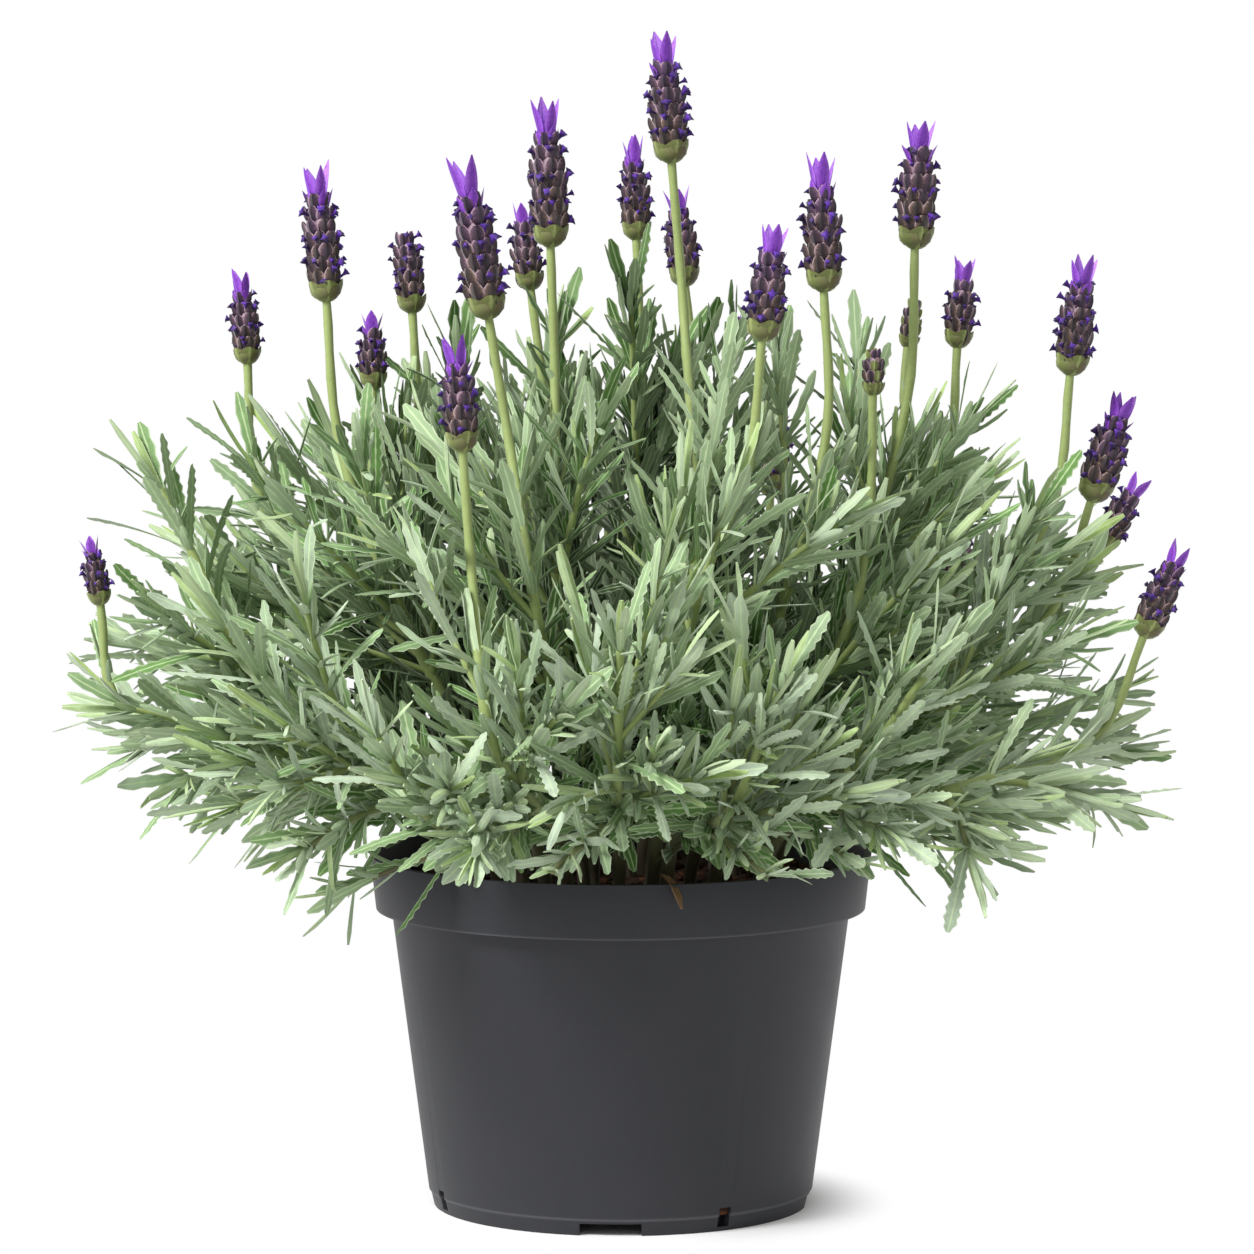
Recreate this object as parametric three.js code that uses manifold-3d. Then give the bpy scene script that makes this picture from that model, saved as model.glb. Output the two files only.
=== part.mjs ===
// A fringed lavender in its nursery pot: millimetres, +Z up, origin under the middle of the pot.
import * as THREE from 'three';
import { mergeVertices } from 'three/addons/utils/BufferGeometryUtils.js';
import Module from 'manifold-3d';

const wasm = await Module();
wasm.setup();

// Pot: a moulded 3 litre container, 190 mm across its rim
const POT_SIDES = 24;
const POT_HEIGHT = 133.7;
const RIM_RADIUS = 95;
const LIP_WIDTH = 2.4;
const BAND_HEIGHT = 20.6;
const BAND_BOTTOM_RADIUS = 92.7;
const BAND_WALL = 1.8;
const SHOULDER_DROP = 1;
const WALL_TOP_RADIUS = 86.9;
const WALL_THICKNESS = 1.7;
const FOOT_HEIGHT = 6;
const FOOT_STEP_RADIUS = 73;
const FOOT_RADIUS = 71.1;
const FOOT_RING_WIDTH = 8;
const PAD_RADIUS = 30;
const CHANNEL_DEPTH = 3.5;
const CHANNEL_DRAFT = 1;
const FLOOR_HEIGHT = 5.5;
const FOOT_CUT = { width: 23, high: 4.6, azimuths: [87, 177, 267, 357] };
const DRAIN_CUT = { width: 5, low: 1.5, high: 9, inner: 66, azimuths: [23, 113, 203, 302] };
const CUT_OVERRUN = 1.5;

// Soil: it fills the pot to 12 mm below the rim, with a rough top
const SOIL_LEVEL = 122;
const SOIL_ROUGHNESS = 2.2;
const SOIL_WAVES = { x: 0.21, y: 0.17 };
const SOIL_RING = 52;
const FIT_GAP = 0.4;
const HOLE_DEPTH = 14;
const HOLE_CLEARANCE = 0.75;

// Stems are three-sided; radii are measured to their corners
const STEM_SIDES = 3;
const STEM_START = 127;
const STEM_BASE_SCALE = 0.42;
const STEM_RISE = { height: 20, share: 0.12 };
const NECK_SHARE = 0.22;
const SHOOT_BEND = 0.35;
const TWIN_NECK = 0.5;
const STEM_RADIUS = { base: 2.7, top: 1.75 };
const SIDE_RADIUS = { base: 1.8, top: 1.2 };
const STALK_STEPS = 3;

// Inner leaves: whorls in relief on the leafy part of each stem, three leaf points to a whorl
const WHORL_START = 26;
const WHORL_END = 16;
const WHORL_STEP = 39;
const WHORL_RADIUS = 11;
const WHORL_LIP = 0.8;
const FLARES = [1, 0.85, 0.7, 0.5, 0];
const SAMPLES = 24;

// Leaf blades: narrow, with a few deep teeth for the many small ones, staggered left and right
const LEAF_LENGTH = 42;
const LEAF_WIDTH = 8;
const LEAF_THICKNESS = 1.1;
const LEAF_TEETH = [
  { at: 0.26, left: 0.8, right: 0.5 },
  { at: 0.52, left: 0.55, right: 1 },
  { at: 0.8, left: 1, right: 0.62 },
];
const YOUNG_TEETH = [
  { at: 0.36, left: 0.95, right: 0.6 },
  { at: 0.74, left: 0.65, right: 1 },
];
const PAIRS = { flowering: 1, leafy: 3, side: 2 };
const PAIR_SPACING = 24;
const TIP_INSET = 2;
const LOWEST_PAIR = 8;
const ROOT_SINK = 0.5;
const LEAF_SEED = 0;

// From a shoot's tip down, each pair spreads wider, is longer and arches more; angles in degrees
const PAIR_ANGLE = { first: 22, step: 17, most: 62, draw: 6 };
const PAIR_LENGTH = { first: 0.78, step: 0.16, most: 1.05, low: 0.86, high: 1.12 };
const PAIR_WIDTH = { low: 0.85, high: 1.1 };
const PAIR_ARCH = { first: 0.02, step: 0.08, low: -0.06, high: 0.1 };
const AZIMUTH_DRAW = 10;

// A leaf in the way of another is turned and shortened, a little more at each try
const LEAF_TRY = { count: 7, turn: 19, shorten: 0.05, close: 2 };
const CLEAR_GAP = 0.4;
const SISTER_GAP = { extra: 0.1, from: 0.16 };

// Flower heads
const HEAD_SIDES = 6;
const HEAD_GAP = 0.35;
const HEAD_SEED = 500;
const HEAD_WHORLS = { step: 8.5, fewest: 3, waist: 0.66, lip: 0.78 };
const HEAD_OUTLINE = { base: 0.72, swell: 1.6, top: 1.62, taper: 0.95 };
const CUP = { height: 4.5, share: 0.3 };
const CROWN = { petals: 4, share: 0.22, spread: 0.3, root: 0.5, valley: 0.4, rise: 1 };
const PETAL_DRAW = { spread: [0.7, 1.1], rise: [0.85, 1.2] };
const BUD_SINK = -2;

const LEAF_GREEN = '#8aa583';

// One row for each stem that stands in the soil. `top` is its end and `middle` a point on its way.
// A flowering stem also has the part of its length that is a `bare` stalk, the lean of its head as
// [x, y] for each unit of height, and the head's length and width. A side shoot is [fork, x, y, z],
// its fork as a part of the main stem's length. A `twin` is a second head on a stalk of its own from
// the same stem, and a `bud` is a young head, not yet open, at the end of a side shoot.
const STEMS = [
  { top: [19, -10, 395], middle: [27, -85, 249], bare: 0.42, lean: [-0.08, 0.02], head: [47, 17],
    sides: [[0.42, 38, -42, 316]] },
  { top: [-26, -25, 364], middle: [-24, -52, 244], bare: 0.3, lean: [-0.03, 0], head: [54, 17],
    sides: [[0.42, -8, -78, 300]] },
  { top: [-48, -70, 339], middle: [-32, -92, 242], bare: 0.3, lean: [-0.16, -0.04], head: [58, 18],
    sides: [[0.35, -78, -112, 256]] },
  { top: [-109, -30, 344], middle: [-88, -36, 242], bare: 0.36, lean: [-0.08, 0], head: [50, 16],
    sides: [[0.42, -94, -72, 284]] },
  { top: [-80, 45, 337], middle: [-58, 38, 239], bare: 0.3, lean: [-0.09, 0.08], head: [37, 14],
    sides: [[0.45, -62, 22, 316]] },
  { top: [-141, 10, 319], middle: [-112, 8, 226], bare: 0.36, lean: [-0.07, 0.04], head: [34, 13],
    sides: [[0.47, -136, -18, 280], [0.37, -158, 42, 242]] },
  { top: [-94, 20, 309], middle: [-78, 14, 226], bare: 0.3, lean: [-0.02, 0.06], head: [28, 13],
    sides: [[0.4, -112, 46, 276]] },
  { top: [-35, 70, 345], middle: [-27, 58, 244], bare: 0.28, lean: [-0.12, 0.1], head: [33, 14],
    sides: [[0.45, -28, 96, 304], [0.5, -24, 26, 326]] },
  { top: [6, 45, 365], middle: [6, 36, 244], bare: 0.32, lean: [-0.03, 0.06], head: [38, 14],
    sides: [[0.5, 4, 8, 338]] },
  { top: [25, 85, 346], middle: [20, 68, 244], bare: 0.3, lean: [-0.09, 0.12], head: [37, 15],
    sides: [[0.5, 44, 52, 322], [0.42, 18, 122, 282]],
    bud: { top: [44, 52, 322], lean: [0.06, 0.04], head: [13, 6] } },
  { top: [75, -40, 348], middle: [62, -50, 239], bare: 0.32, lean: [-0.03, 0], head: [49, 17],
    sides: [[0.45, 58, -8, 322]] },
  { top: [110, -10, 363], middle: [90, -12, 244], bare: 0.34, lean: [0.04, 0.02], head: [47, 17],
    sides: [[0.45, 90, 20, 316], [0.42, 126, -14, 292]] },
  { top: [51, -95, 332], middle: [28, -112, 242], bare: 0.36, lean: [0.11, 0], head: [40, 16],
    sides: [[0.43, 78, -106, 266]] },
  { top: [130, 60, 323], middle: [102, 48, 232], bare: 0.28, lean: [0.09, 0.08], head: [33, 14],
    sides: [[0.42, 118, 96, 266], [0.4, 160, 52, 242]],
    twin: { fork: 0.6, top: [112, 84, 322], lean: [0.16, 0.12], head: [22, 10] } },
  { top: [93, -45, 310], middle: [84, -62, 226], bare: 0.3, lean: [0.02, -0.04], head: [20, 10],
    sides: [[0.4, 116, -84, 254]] },
  { top: [168, -15, 316], middle: [135, -15, 222], bare: 0.34, lean: [0.12, 0], head: [43, 16],
    sides: [[0.48, 152, -42, 262], [0.38, 172, 22, 230]] },
  { top: [177, -5, 268], middle: [127, -44, 198], bare: 0.28, lean: [0.33, 0.02], head: [41, 17],
    sides: [[0.42, 160, -62, 218]],
    twin: { fork: 0.66, top: [184, 42, 246], lean: [0.62, 0.12], head: [31, 14] } },
  { top: [195, -30, 219], middle: [122, -94, 169], bare: 0.2, lean: [0.42, 0.04], head: [36, 15],
    sides: [[0.5, 172, -80, 164], [0.42, 124, -124, 150]] },
  { top: [-56, -125, 294], middle: [-46, -142, 194], bare: 0.36, lean: [-0.07, 0], head: [39, 15],
    sides: [[0.35, -22, -158, 202], [0.3, -50, -160, 156]] },
  { top: [-196, -5, 229], middle: [-132, -46, 180], bare: 0.16, lean: [-0.16, 0], head: [25, 11],
    sides: [[0.48, -180, -56, 194], [0.4, -158, -84, 172]] },
  { top: [-90, 125, 242], middle: [-62, 86, 194], bare: 0.26, lean: [-0.16, 0.18], head: [40, 16],
    sides: [[0.42, -128, 98, 218], [0.4, -64, 148, 190]] },
  { top: [-20, 150, 266], middle: [-15, 102, 206], bare: 0.28, lean: [-0.03, 0.16], head: [44, 16],
    sides: [[0.4, -48, 148, 230], [0.35, 8, 168, 188]] },
  { top: [60, 145, 260], middle: [42, 100, 206], bare: 0.28, lean: [0.07, 0.2], head: [42, 16],
    sides: [[0.4, 34, 150, 236], [0.38, 88, 146, 190]] },
  { top: [130, 120, 220], middle: [86, 82, 184], bare: 0.26, lean: [0.2, 0.22], head: [38, 15],
    sides: [[0.46, 100, 134, 210], [0.39, 160, 96, 188]] },
  { top: [0, -166, 226], middle: [-1, -128, 172], bare: 0,
    sides: [[0.45, 26, -158, 180], [0.36, -24, -150, 146]] },
  { top: [56, -155, 211], middle: [40, -128, 166], bare: 0,
    sides: [[0.45, 76, -142, 172], [0.36, 52, -146, 144]] },
  { top: [112, -120, 217], middle: [82, -100, 174], bare: 0, sides: [[0.4, 92, -132, 160]] },
  { top: [-86, -150, 194], middle: [-66, -118, 159], bare: 0, sides: [[0.5, -60, -154, 176]] },
  { top: [-143, -100, 228], middle: [-108, -84, 182], bare: 0,
    sides: [[0.42, -112, -118, 236], [0.45, -138, -102, 164], [0.3, -112, -112, 150]] },
  { top: [-173, -5, 272], middle: [-136, -10, 204], bare: 0,
    sides: [[0.42, -182, 18, 210], [0.45, -166, -48, 226]] },
  { top: [-166, 82, 196], middle: [-112, 56, 166], bare: 0,
    sides: [[0.5, -182, 48, 170], [0.42, -126, 118, 164]] },
  { top: [186, 62, 186], middle: [124, 44, 166], bare: 0,
    sides: [[0.45, 146, 108, 156], [0.5, 186, 20, 170]] },
];

// A small seeded source of draws, the same on every run
function drawsFrom(seed) {
  let state = (seed * 7919 + 12345) % 4294967296;
  return (low, high) => {
    state = (state * 1664525 + 1013904223) % 4294967296;
    return low + (high - low) * (state / 4294967296);
  };
}

const vector = (values) => new THREE.Vector3(...values);
const radians = THREE.MathUtils.degToRad;

// A closed skin over a row of rings; a ring of one point is a tip, other ends are capped
function loft(rings) {
  const points = rings.flat();
  const starts = [];
  let count = 0;
  for (const ring of rings) {
    starts.push(count);
    count += ring.length;
  }
  const faces = [];
  for (let r = 0; r + 1 < rings.length; r += 1) {
    const sides = Math.max(rings[r].length, rings[r + 1].length);
    for (let k = 0; k < sides; k += 1) {
      const next = (k + 1) % sides;
      const [a, b] = [starts[r], starts[r + 1]];
      if (rings[r].length === 1) {
        faces.push([a, b + next, b + k]);
      } else if (rings[r + 1].length === 1) {
        faces.push([a + k, a + next, b]);
      } else {
        faces.push([a + k, a + next, b + next], [a + k, b + next, b + k]);
      }
    }
  }
  for (let k = 1; k + 1 < rings[0].length; k += 1) {
    faces.push([0, k + 1, k]);
  }
  const last = starts.at(-1);
  for (let k = 1; k + 1 < rings.at(-1).length; k += 1) {
    faces.push([last, last + k, last + k + 1]);
  }
  const volume = faces.reduce((sum, [a, b, c]) => sum + points[a].dot(points[b].clone().cross(points[c])), 0);
  if (volume < 0) {
    faces.forEach((face) => face.reverse());
  }
  const geometry = new THREE.BufferGeometry().setFromPoints(points);
  geometry.setIndex(faces.flat());
  return geometry;
}

function toSolid(geometry) {
  const bare = geometry.clone();
  bare.deleteAttribute('normal');
  bare.deleteAttribute('uv');
  const merged = mergeVertices(bare, 1e-4);
  const mesh = new wasm.Mesh({
    numProp: 3,
    vertProperties: new Float32Array(merged.attributes.position.array),
    triVerts: new Uint32Array(merged.index.array),
  });
  return new wasm.Manifold(mesh);
}

function toGeometry(solid) {
  const mesh = solid.getMesh();
  const geometry = new THREE.BufferGeometry();
  geometry.setAttribute('position', new THREE.BufferAttribute(mesh.vertProperties, 3));
  geometry.setIndex(new THREE.BufferAttribute(mesh.triVerts, 1));
  return geometry;
}

// Everything placed so far, so that a new leaf or shoot can be kept clear of it
const placed = [];

function place(node, kind, solid) {
  const bounds = solid.boundingBox();
  const box = new THREE.Box3(vector(bounds.min), vector(bounds.max));
  placed.push({ node, kind, solid, box });
}

function isClear(solid, applies) {
  const bounds = solid.boundingBox();
  const box = new THREE.Box3(vector(bounds.min), vector(bounds.max));
  return placed.every((other) => !applies(other) || !box.intersectsBox(other.box)
    || solid.intersect(other.solid).isEmpty());
}

// Pot and soil
function cutAt(azimuth, { width, low = -CUT_OVERRUN, high }, inner) {
  const depth = RIM_RADIUS - inner;
  const box = new THREE.BoxGeometry(depth, width, high - low);
  box.translate(inner + depth / 2, 0, (low + high) / 2);
  box.rotateZ(radians(azimuth));
  return toSolid(box);
}

function makePot() {
  const channelOuter = FOOT_RADIUS - FOOT_RING_WIDTH;
  const bandBottom = POT_HEIGHT - BAND_HEIGHT;
  const profile = [
    [0, 0],
    [PAD_RADIUS, 0],
    [PAD_RADIUS + CHANNEL_DRAFT, CHANNEL_DEPTH],
    [channelOuter - CHANNEL_DRAFT, CHANNEL_DEPTH],
    [channelOuter, 0],
    [FOOT_RADIUS, 0],
    [FOOT_STEP_RADIUS, FOOT_HEIGHT],
    [WALL_TOP_RADIUS, bandBottom],
    [BAND_BOTTOM_RADIUS, bandBottom],
    [RIM_RADIUS, POT_HEIGHT],
    [RIM_RADIUS - LIP_WIDTH, POT_HEIGHT],
    [BAND_BOTTOM_RADIUS - BAND_WALL, bandBottom + BAND_WALL],
    [WALL_TOP_RADIUS - WALL_THICKNESS, bandBottom + BAND_WALL - SHOULDER_DROP],
    [FOOT_STEP_RADIUS - WALL_THICKNESS, FLOOR_HEIGHT],
    [0, FLOOR_HEIGHT],
  ];
  const outline = profile.map(([r, z]) => new THREE.Vector2(r, z));
  let pot = toSolid(new THREE.LatheGeometry(outline, POT_SIDES).rotateX(Math.PI / 2));
  for (const azimuth of FOOT_CUT.azimuths) {
    pot = pot.subtract(cutAt(azimuth, FOOT_CUT, channelOuter - CUT_OVERRUN));
  }
  for (const azimuth of DRAIN_CUT.azimuths) {
    pot = pot.subtract(cutAt(azimuth, DRAIN_CUT, DRAIN_CUT.inner));
  }
  return pot;
}

function makeSoil(bases) {
  const bandBottom = POT_HEIGHT - BAND_HEIGHT;
  const wallTop = WALL_TOP_RADIUS - WALL_THICKNESS - FIT_GAP;
  const profile = [
    [0, FLOOR_HEIGHT + FIT_GAP],
    [FOOT_STEP_RADIUS - WALL_THICKNESS - FIT_GAP, FLOOR_HEIGHT + FIT_GAP],
    [wallTop, bandBottom + BAND_WALL - SHOULDER_DROP + FIT_GAP],
    [BAND_BOTTOM_RADIUS - BAND_WALL - FIT_GAP, bandBottom + BAND_WALL + FIT_GAP],
    [BAND_BOTTOM_RADIUS - BAND_WALL, SOIL_LEVEL],
    [SOIL_RING, SOIL_LEVEL],
    [0, SOIL_LEVEL],
  ];
  const outline = profile.map(([r, z]) => new THREE.Vector2(r, z));
  const geometry = new THREE.LatheGeometry(outline, POT_SIDES).rotateX(Math.PI / 2);
  const position = geometry.attributes.position;
  for (let i = 0; i < position.count; i += 1) {
    const [x, y] = [position.getX(i), position.getY(i)];
    if (position.getZ(i) === SOIL_LEVEL && Math.hypot(x, y) < SOIL_RING + 1) {
      const wave = Math.sin(x * SOIL_WAVES.x + 1) * Math.cos(y * SOIL_WAVES.y);
      position.setZ(i, SOIL_LEVEL + SOIL_ROUGHNESS * wave);
    }
  }
  let soil = toSolid(geometry);
  for (const base of bases) {
    const low = base.clone().setZ(SOIL_LEVEL - HOLE_DEPTH - FIT_GAP);
    const high = base.clone().setZ(STEM_START);
    const radius = STEM_RADIUS.base + HOLE_CLEARANCE;
    soil = soil.subtract(toSolid(tube([{ point: low, radius }, { point: high, radius }])));
  }
  return soil;
}

// Two directions across a stem: its corners and its leaves are counted round from the first
function across(along) {
  const side = new THREE.Vector3(0, 1, 0).cross(along).normalize();
  return [side, along.clone().cross(side)];
}

// A whorl's corners stand between those of the rings beside it: each change turns the next ring half
// a side further back, so that the faces run from corner to nearest corner
function tube(rings) {
  let turn = 0;
  return loft(rings.map(({ point, radius, whorl }, i) => {
    const before = rings[Math.max(i - 1, 0)];
    const after = rings[Math.min(i + 1, rings.length - 1)];
    const [side, front] = across(after.point.clone().sub(before.point).normalize());
    turn -= whorl === before.whorl ? 0 : 0.5;
    return ringOf(STEM_SIDES, radius, 0, turn).map((corner) => point.clone()
      .addScaledVector(side, corner.x).addScaledVector(front, corner.y));
  }));
}

// A curve as straight lengths, which a tube's axis and the roots on it share exactly. Its rings
// are a plain stem, and whorls of short inner leaves in relief where the stem is leafy.
function inLengths(curve, stations) {
  const path = new THREE.CurvePath();
  path.rings = stations.map((station) => ({ ...station, point: curve.getPointAt(station.at) }));
  for (let i = 0; i + 1 < stations.length; i += 1) {
    path.add(new THREE.LineCurve3(path.rings[i].point, path.rings[i + 1].point));
  }
  return path;
}

function plainStations(steps, radii) {
  return Array.from({ length: steps + 1 }, (_, k) => ({ at: k / steps, radius: between(radii)(k / steps) }));
}

function leafyStations(curve, leafyEnd, ends) {
  const length = curve.getLength();
  const from = WHORL_START / length;
  const to = leafyEnd - WHORL_END / length;
  const whorls = Math.max(1, Math.round(((to - from) * length) / WHORL_STEP));
  const step = (to - from) / whorls;
  const stations = [{ at: 0 }];
  for (let k = 0; k < whorls; k += 1) {
    stations.push({ at: from + k * step });
    stations.push({ at: from + (k + WHORL_LIP) * step, whorl: true });
  }
  for (let k = 0; k <= ends; k += 1) {
    stations.push({ at: to + ((1 - to) * k) / ends });
  }
  return stations.map((station) => ({ ...station, radius: between(STEM_RADIUS)(station.at) }));
}

const headAxis = (lean) => new THREE.Vector3(lean[0], lean[1], 1).normalize();

// A main stem leaves the soil upright, and a flowering one meets its head along the head's axis
function mainCurve(row) {
  const middle = vector(row.middle);
  const top = vector(row.top);
  const base = new THREE.Vector3(middle.x * STEM_BASE_SCALE, middle.y * STEM_BASE_SCALE, STEM_START);
  const rise = base.clone().lerp(middle, STEM_RISE.share).setZ(STEM_START + STEM_RISE.height);
  const points = [base, rise, middle, top];
  if (row.head) {
    points.splice(3, 0, top.clone().addScaledVector(headAxis(row.lean), -NECK_SHARE * base.distanceTo(top)));
  }
  const curve = new THREE.CatmullRomCurve3(points);
  return inLengths(curve, leafyStations(curve, 1 - row.bare, row.head ? STALK_STEPS : 1));
}

function sideCurve(main, fork, end) {
  const start = main.getPointAt(fork);
  const middle = start.clone().lerp(end, 0.5);
  const control = start.clone().addScaledVector(main.getTangentAt(fork), start.distanceTo(end) * SHOOT_BEND);
  control.lerp(middle, SHOOT_BEND);
  const curve = new THREE.QuadraticBezierCurve3(start, control, end);
  return inLengths(curve, plainStations(2, SIDE_RADIUS));
}

function twinCurve(main, { fork, top, lean }) {
  const start = main.getPointAt(fork);
  const end = vector(top);
  const reach = start.distanceTo(end);
  const control = start.clone().addScaledVector(main.getTangentAt(fork), reach * SHOOT_BEND);
  const neck = end.clone().addScaledVector(headAxis(lean), -reach * TWIN_NECK);
  const curve = new THREE.CubicBezierCurve3(start, control, neck, end);
  return inLengths(curve, plainStations(STALK_STEPS, { base: STEM_RADIUS.top, top: STEM_RADIUS.top }));
}

const between = (radii) => (t) => radii.base + (radii.top - radii.base) * t;

// The three green bracts under a head: the stalk opens to a cup that the head sits on
function withCup(rings, { lean, head }) {
  const top = rings.at(-1);
  const neck = top.point.clone().addScaledVector(headAxis(lean), -CUP.height);
  return [...rings.slice(0, -1), { ...top, point: neck }, { ...top, radius: CUP.share * head[1] }];
}

// A whorl flares as far as half of the room to the next stem lets it
function flare(node, rings, share) {
  return rings.map((ring) => {
    if (!ring.whorl) {
      return ring;
    }
    const room = samples.filter((sample) => sample.node !== node)
      .reduce((least, sample) => Math.min(least, sample.point.distanceTo(ring.point)), Infinity);
    return { ...ring, radius: Math.max(ring.radius, share * Math.min(WHORL_RADIUS, room / 2 - CLEAR_GAP)) };
  });
}

function growStem(node, rings) {
  for (const share of FLARES) {
    const solid = toSolid(tube(flare(node, rings, share)));
    if (share === 0 || isClear(solid, (other) => other.node !== node)) {
      place(node, 'stem', solid);
      return solid;
    }
  }
}

function ringOf(sides, radius, height, turn) {
  return Array.from({ length: sides }, (_, k) => {
    const angle = ((k + turn) / sides) * 2 * Math.PI;
    return new THREE.Vector3(radius * Math.cos(angle), radius * Math.sin(angle), height);
  });
}

// Flower heads: whorls of bracts that flare like a cone's scales, under a crown of bright bracts
function headSolid({ top, lean, head: [length, width] }, seed, gap = HEAD_GAP) {
  const draw = drawsFrom(seed);
  const crown = length * CROWN.share;
  const body = length - crown;
  const whorls = Math.max(HEAD_WHORLS.fewest, Math.round(body / HEAD_WHORLS.step));
  const step = body / whorls;
  const rings = [];
  for (let k = 0; k < whorls; k += 1) {
    const waist = (width / 2) * fullness(k / whorls) * HEAD_WHORLS.waist;
    const lip = (width / 2) * fullness((k + 0.5) / whorls);
    rings.push(ringOf(HEAD_SIDES, waist, k * step, -k));
    rings.push(ringOf(HEAD_SIDES, lip, (k + HEAD_WHORLS.lip) * step, -k - 0.5));
  }
  rings.push([new THREE.Vector3(0, 0, body)]);
  const head = toSolid(loft(rings)).add(crownSolid(body, crown, width * CROWN.spread, draw));
  const axis = headAxis(lean);
  const frame = new THREE.Quaternion().setFromUnitVectors(new THREE.Vector3(0, 0, 1), axis);
  const seat = vector(top).addScaledVector(axis, gap);
  return toSolid(toGeometry(head).applyQuaternion(frame).translate(seat.x, seat.y, seat.z));
}

// How full a head is at a part of its height: it swells from the cup, then tapers to the crown
function fullness(t) {
  const { base, swell, top, taper } = HEAD_OUTLINE;
  return Math.min(base + swell * t, 1, top - taper * t);
}

// The crown is a star whose rays stand up as petals, its point sunk in the head
function crownSolid(height, length, spread, draw) {
  const spin = draw(0, 1);
  const ring = ringOf(CROWN.petals * 2, 1, 0, spin).map((point, k) => {
    const isPetal = k % 2 === 0;
    const radius = isPetal ? spread * draw(...PETAL_DRAW.spread) : spread * CROWN.valley;
    const rise = isPetal ? length * draw(...PETAL_DRAW.rise) : 0;
    return point.multiplyScalar(radius).setZ(height + rise);
  });
  const root = new THREE.Vector3(0, 0, height - length * CROWN.root);
  const tip = new THREE.Vector3(0, 0, height + CROWN.rise);
  return toSolid(loft([[root], ring, [tip]]));
}

// Leaves: a three-cornered section swept along an arched line, its edge in and out in waves
function blade(leaf, extra = 0, from = 0) {
  const { root, along, up, length, width, arch, teeth } = leaf;
  const side = along.clone().cross(up);
  const line = (t) => root.clone().addScaledVector(along, length * t)
    .addScaledVector(up, -arch * length * t * t);
  const rings = [[line(from)]];
  for (const { at, left, right } of teeth) {
    const middle = line(at);
    rings.push([
      middle.clone().addScaledVector(side, (width / 2) * left + extra).addScaledVector(up, extra),
      middle.clone().addScaledVector(side, -(width / 2) * right - extra).addScaledVector(up, extra),
      middle.clone().addScaledVector(up, -LEAF_THICKNESS - extra * 2),
    ]);
  }
  rings.push([line(1 + extra / length)]);
  return toSolid(loft(rings));
}

function leafAt(curve, at, azimuth, plan) {
  const start = curve.getPointAt(at);
  const tangent = curve.getTangentAt(at);
  const radial = across(tangent)[0].applyAxisAngle(tangent, radians(azimuth));
  const angle = radians(plan.angle);
  const along = tangent.clone().multiplyScalar(Math.cos(angle)).addScaledVector(radial, Math.sin(angle));
  const up = tangent.clone().multiplyScalar(Math.sin(angle)).addScaledVector(radial, -Math.cos(angle));
  return { ...plan, root: start.addScaledVector(radial, -ROOT_SINK), along, up };
}

// Tries the planned place first, then turns and shortens the leaf until nothing is in its way
function growLeaf(node, curve, at, azimuth, plan) {
  for (let k = 0; k < LEAF_TRY.count; k += 1) {
    const turn = (k % 2 === 0 ? 1 : -1) * Math.ceil(k / 2) * LEAF_TRY.turn;
    const length = plan.length * (1 - LEAF_TRY.shorten * k);
    const angle = plan.angle - LEAF_TRY.close * k;
    const leaf = leafAt(curve, at, azimuth + turn, { ...plan, length, angle });
    const outer = blade(leaf, SISTER_GAP.extra, SISTER_GAP.from);
    if (isClear(blade(leaf, CLEAR_GAP), (other) => other.node !== node)
      && isClear(outer, (other) => other.node === node && other.kind === 'leaf')) {
      const solid = blade(leaf);
      place(node, 'leaf', solid);
      return [solid];
    }
  }
  return [];
}

function leafPlan(pair, draw) {
  const grown = ({ first, step, most }) => Math.min(first + step * pair, most);
  return {
    angle: grown(PAIR_ANGLE) + draw(-PAIR_ANGLE.draw, PAIR_ANGLE.draw),
    length: LEAF_LENGTH * grown(PAIR_LENGTH) * draw(PAIR_LENGTH.low, PAIR_LENGTH.high),
    width: LEAF_WIDTH * draw(PAIR_WIDTH.low, PAIR_WIDTH.high),
    arch: PAIR_ARCH.first + PAIR_ARCH.step * pair + draw(PAIR_ARCH.low, PAIR_ARCH.high),
    teeth: pair === 0 ? YOUNG_TEETH : LEAF_TEETH,
  };
}

// Leaves stand on the stem's flat faces, spreading wider and growing longer down from the tip
function growLeaves(node, shoot, seed) {
  const draw = drawsFrom(seed);
  const solids = [];
  const length = shoot.curve.getLength();
  const faceTurn = 360 / STEM_SIDES;
  for (let pair = 0; pair < shoot.pairs; pair += 1) {
    const at = shoot.leafyEnd - (TIP_INSET + pair * PAIR_SPACING) / length;
    for (const face of at * length > LOWEST_PAIR ? [pair + 0.5, pair + 1.5] : []) {
      const plan = leafPlan(pair, draw);
      const azimuth = face * faceTurn + draw(-AZIMUTH_DRAW, AZIMUTH_DRAW);
      solids.push(...growLeaf(node, shoot.curve, at, azimuth, plan));
    }
  }
  return solids;
}

function shootsOf(row) {
  const main = mainCurve(row);
  const leafyEnd = 1 - row.bare;
  const shoots = [{ curve: main, leafyEnd, pairs: row.head ? PAIRS.flowering : PAIRS.leafy }];
  for (const [fork, x, y, z] of row.sides) {
    const curve = sideCurve(main, fork, new THREE.Vector3(x, y, z));
    shoots.push({ curve, leafyEnd: 1, pairs: PAIRS.side });
  }
  return shoots;
}

function mesh(name, solid, color, roughness) {
  const material = new THREE.MeshStandardMaterial({ color, roughness, metalness: 0 });
  const made = new THREE.Mesh(toGeometry(solid), material);
  made.name = name;
  return made;
}

const number = (value) => String(value).padStart(2, '0');

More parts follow.
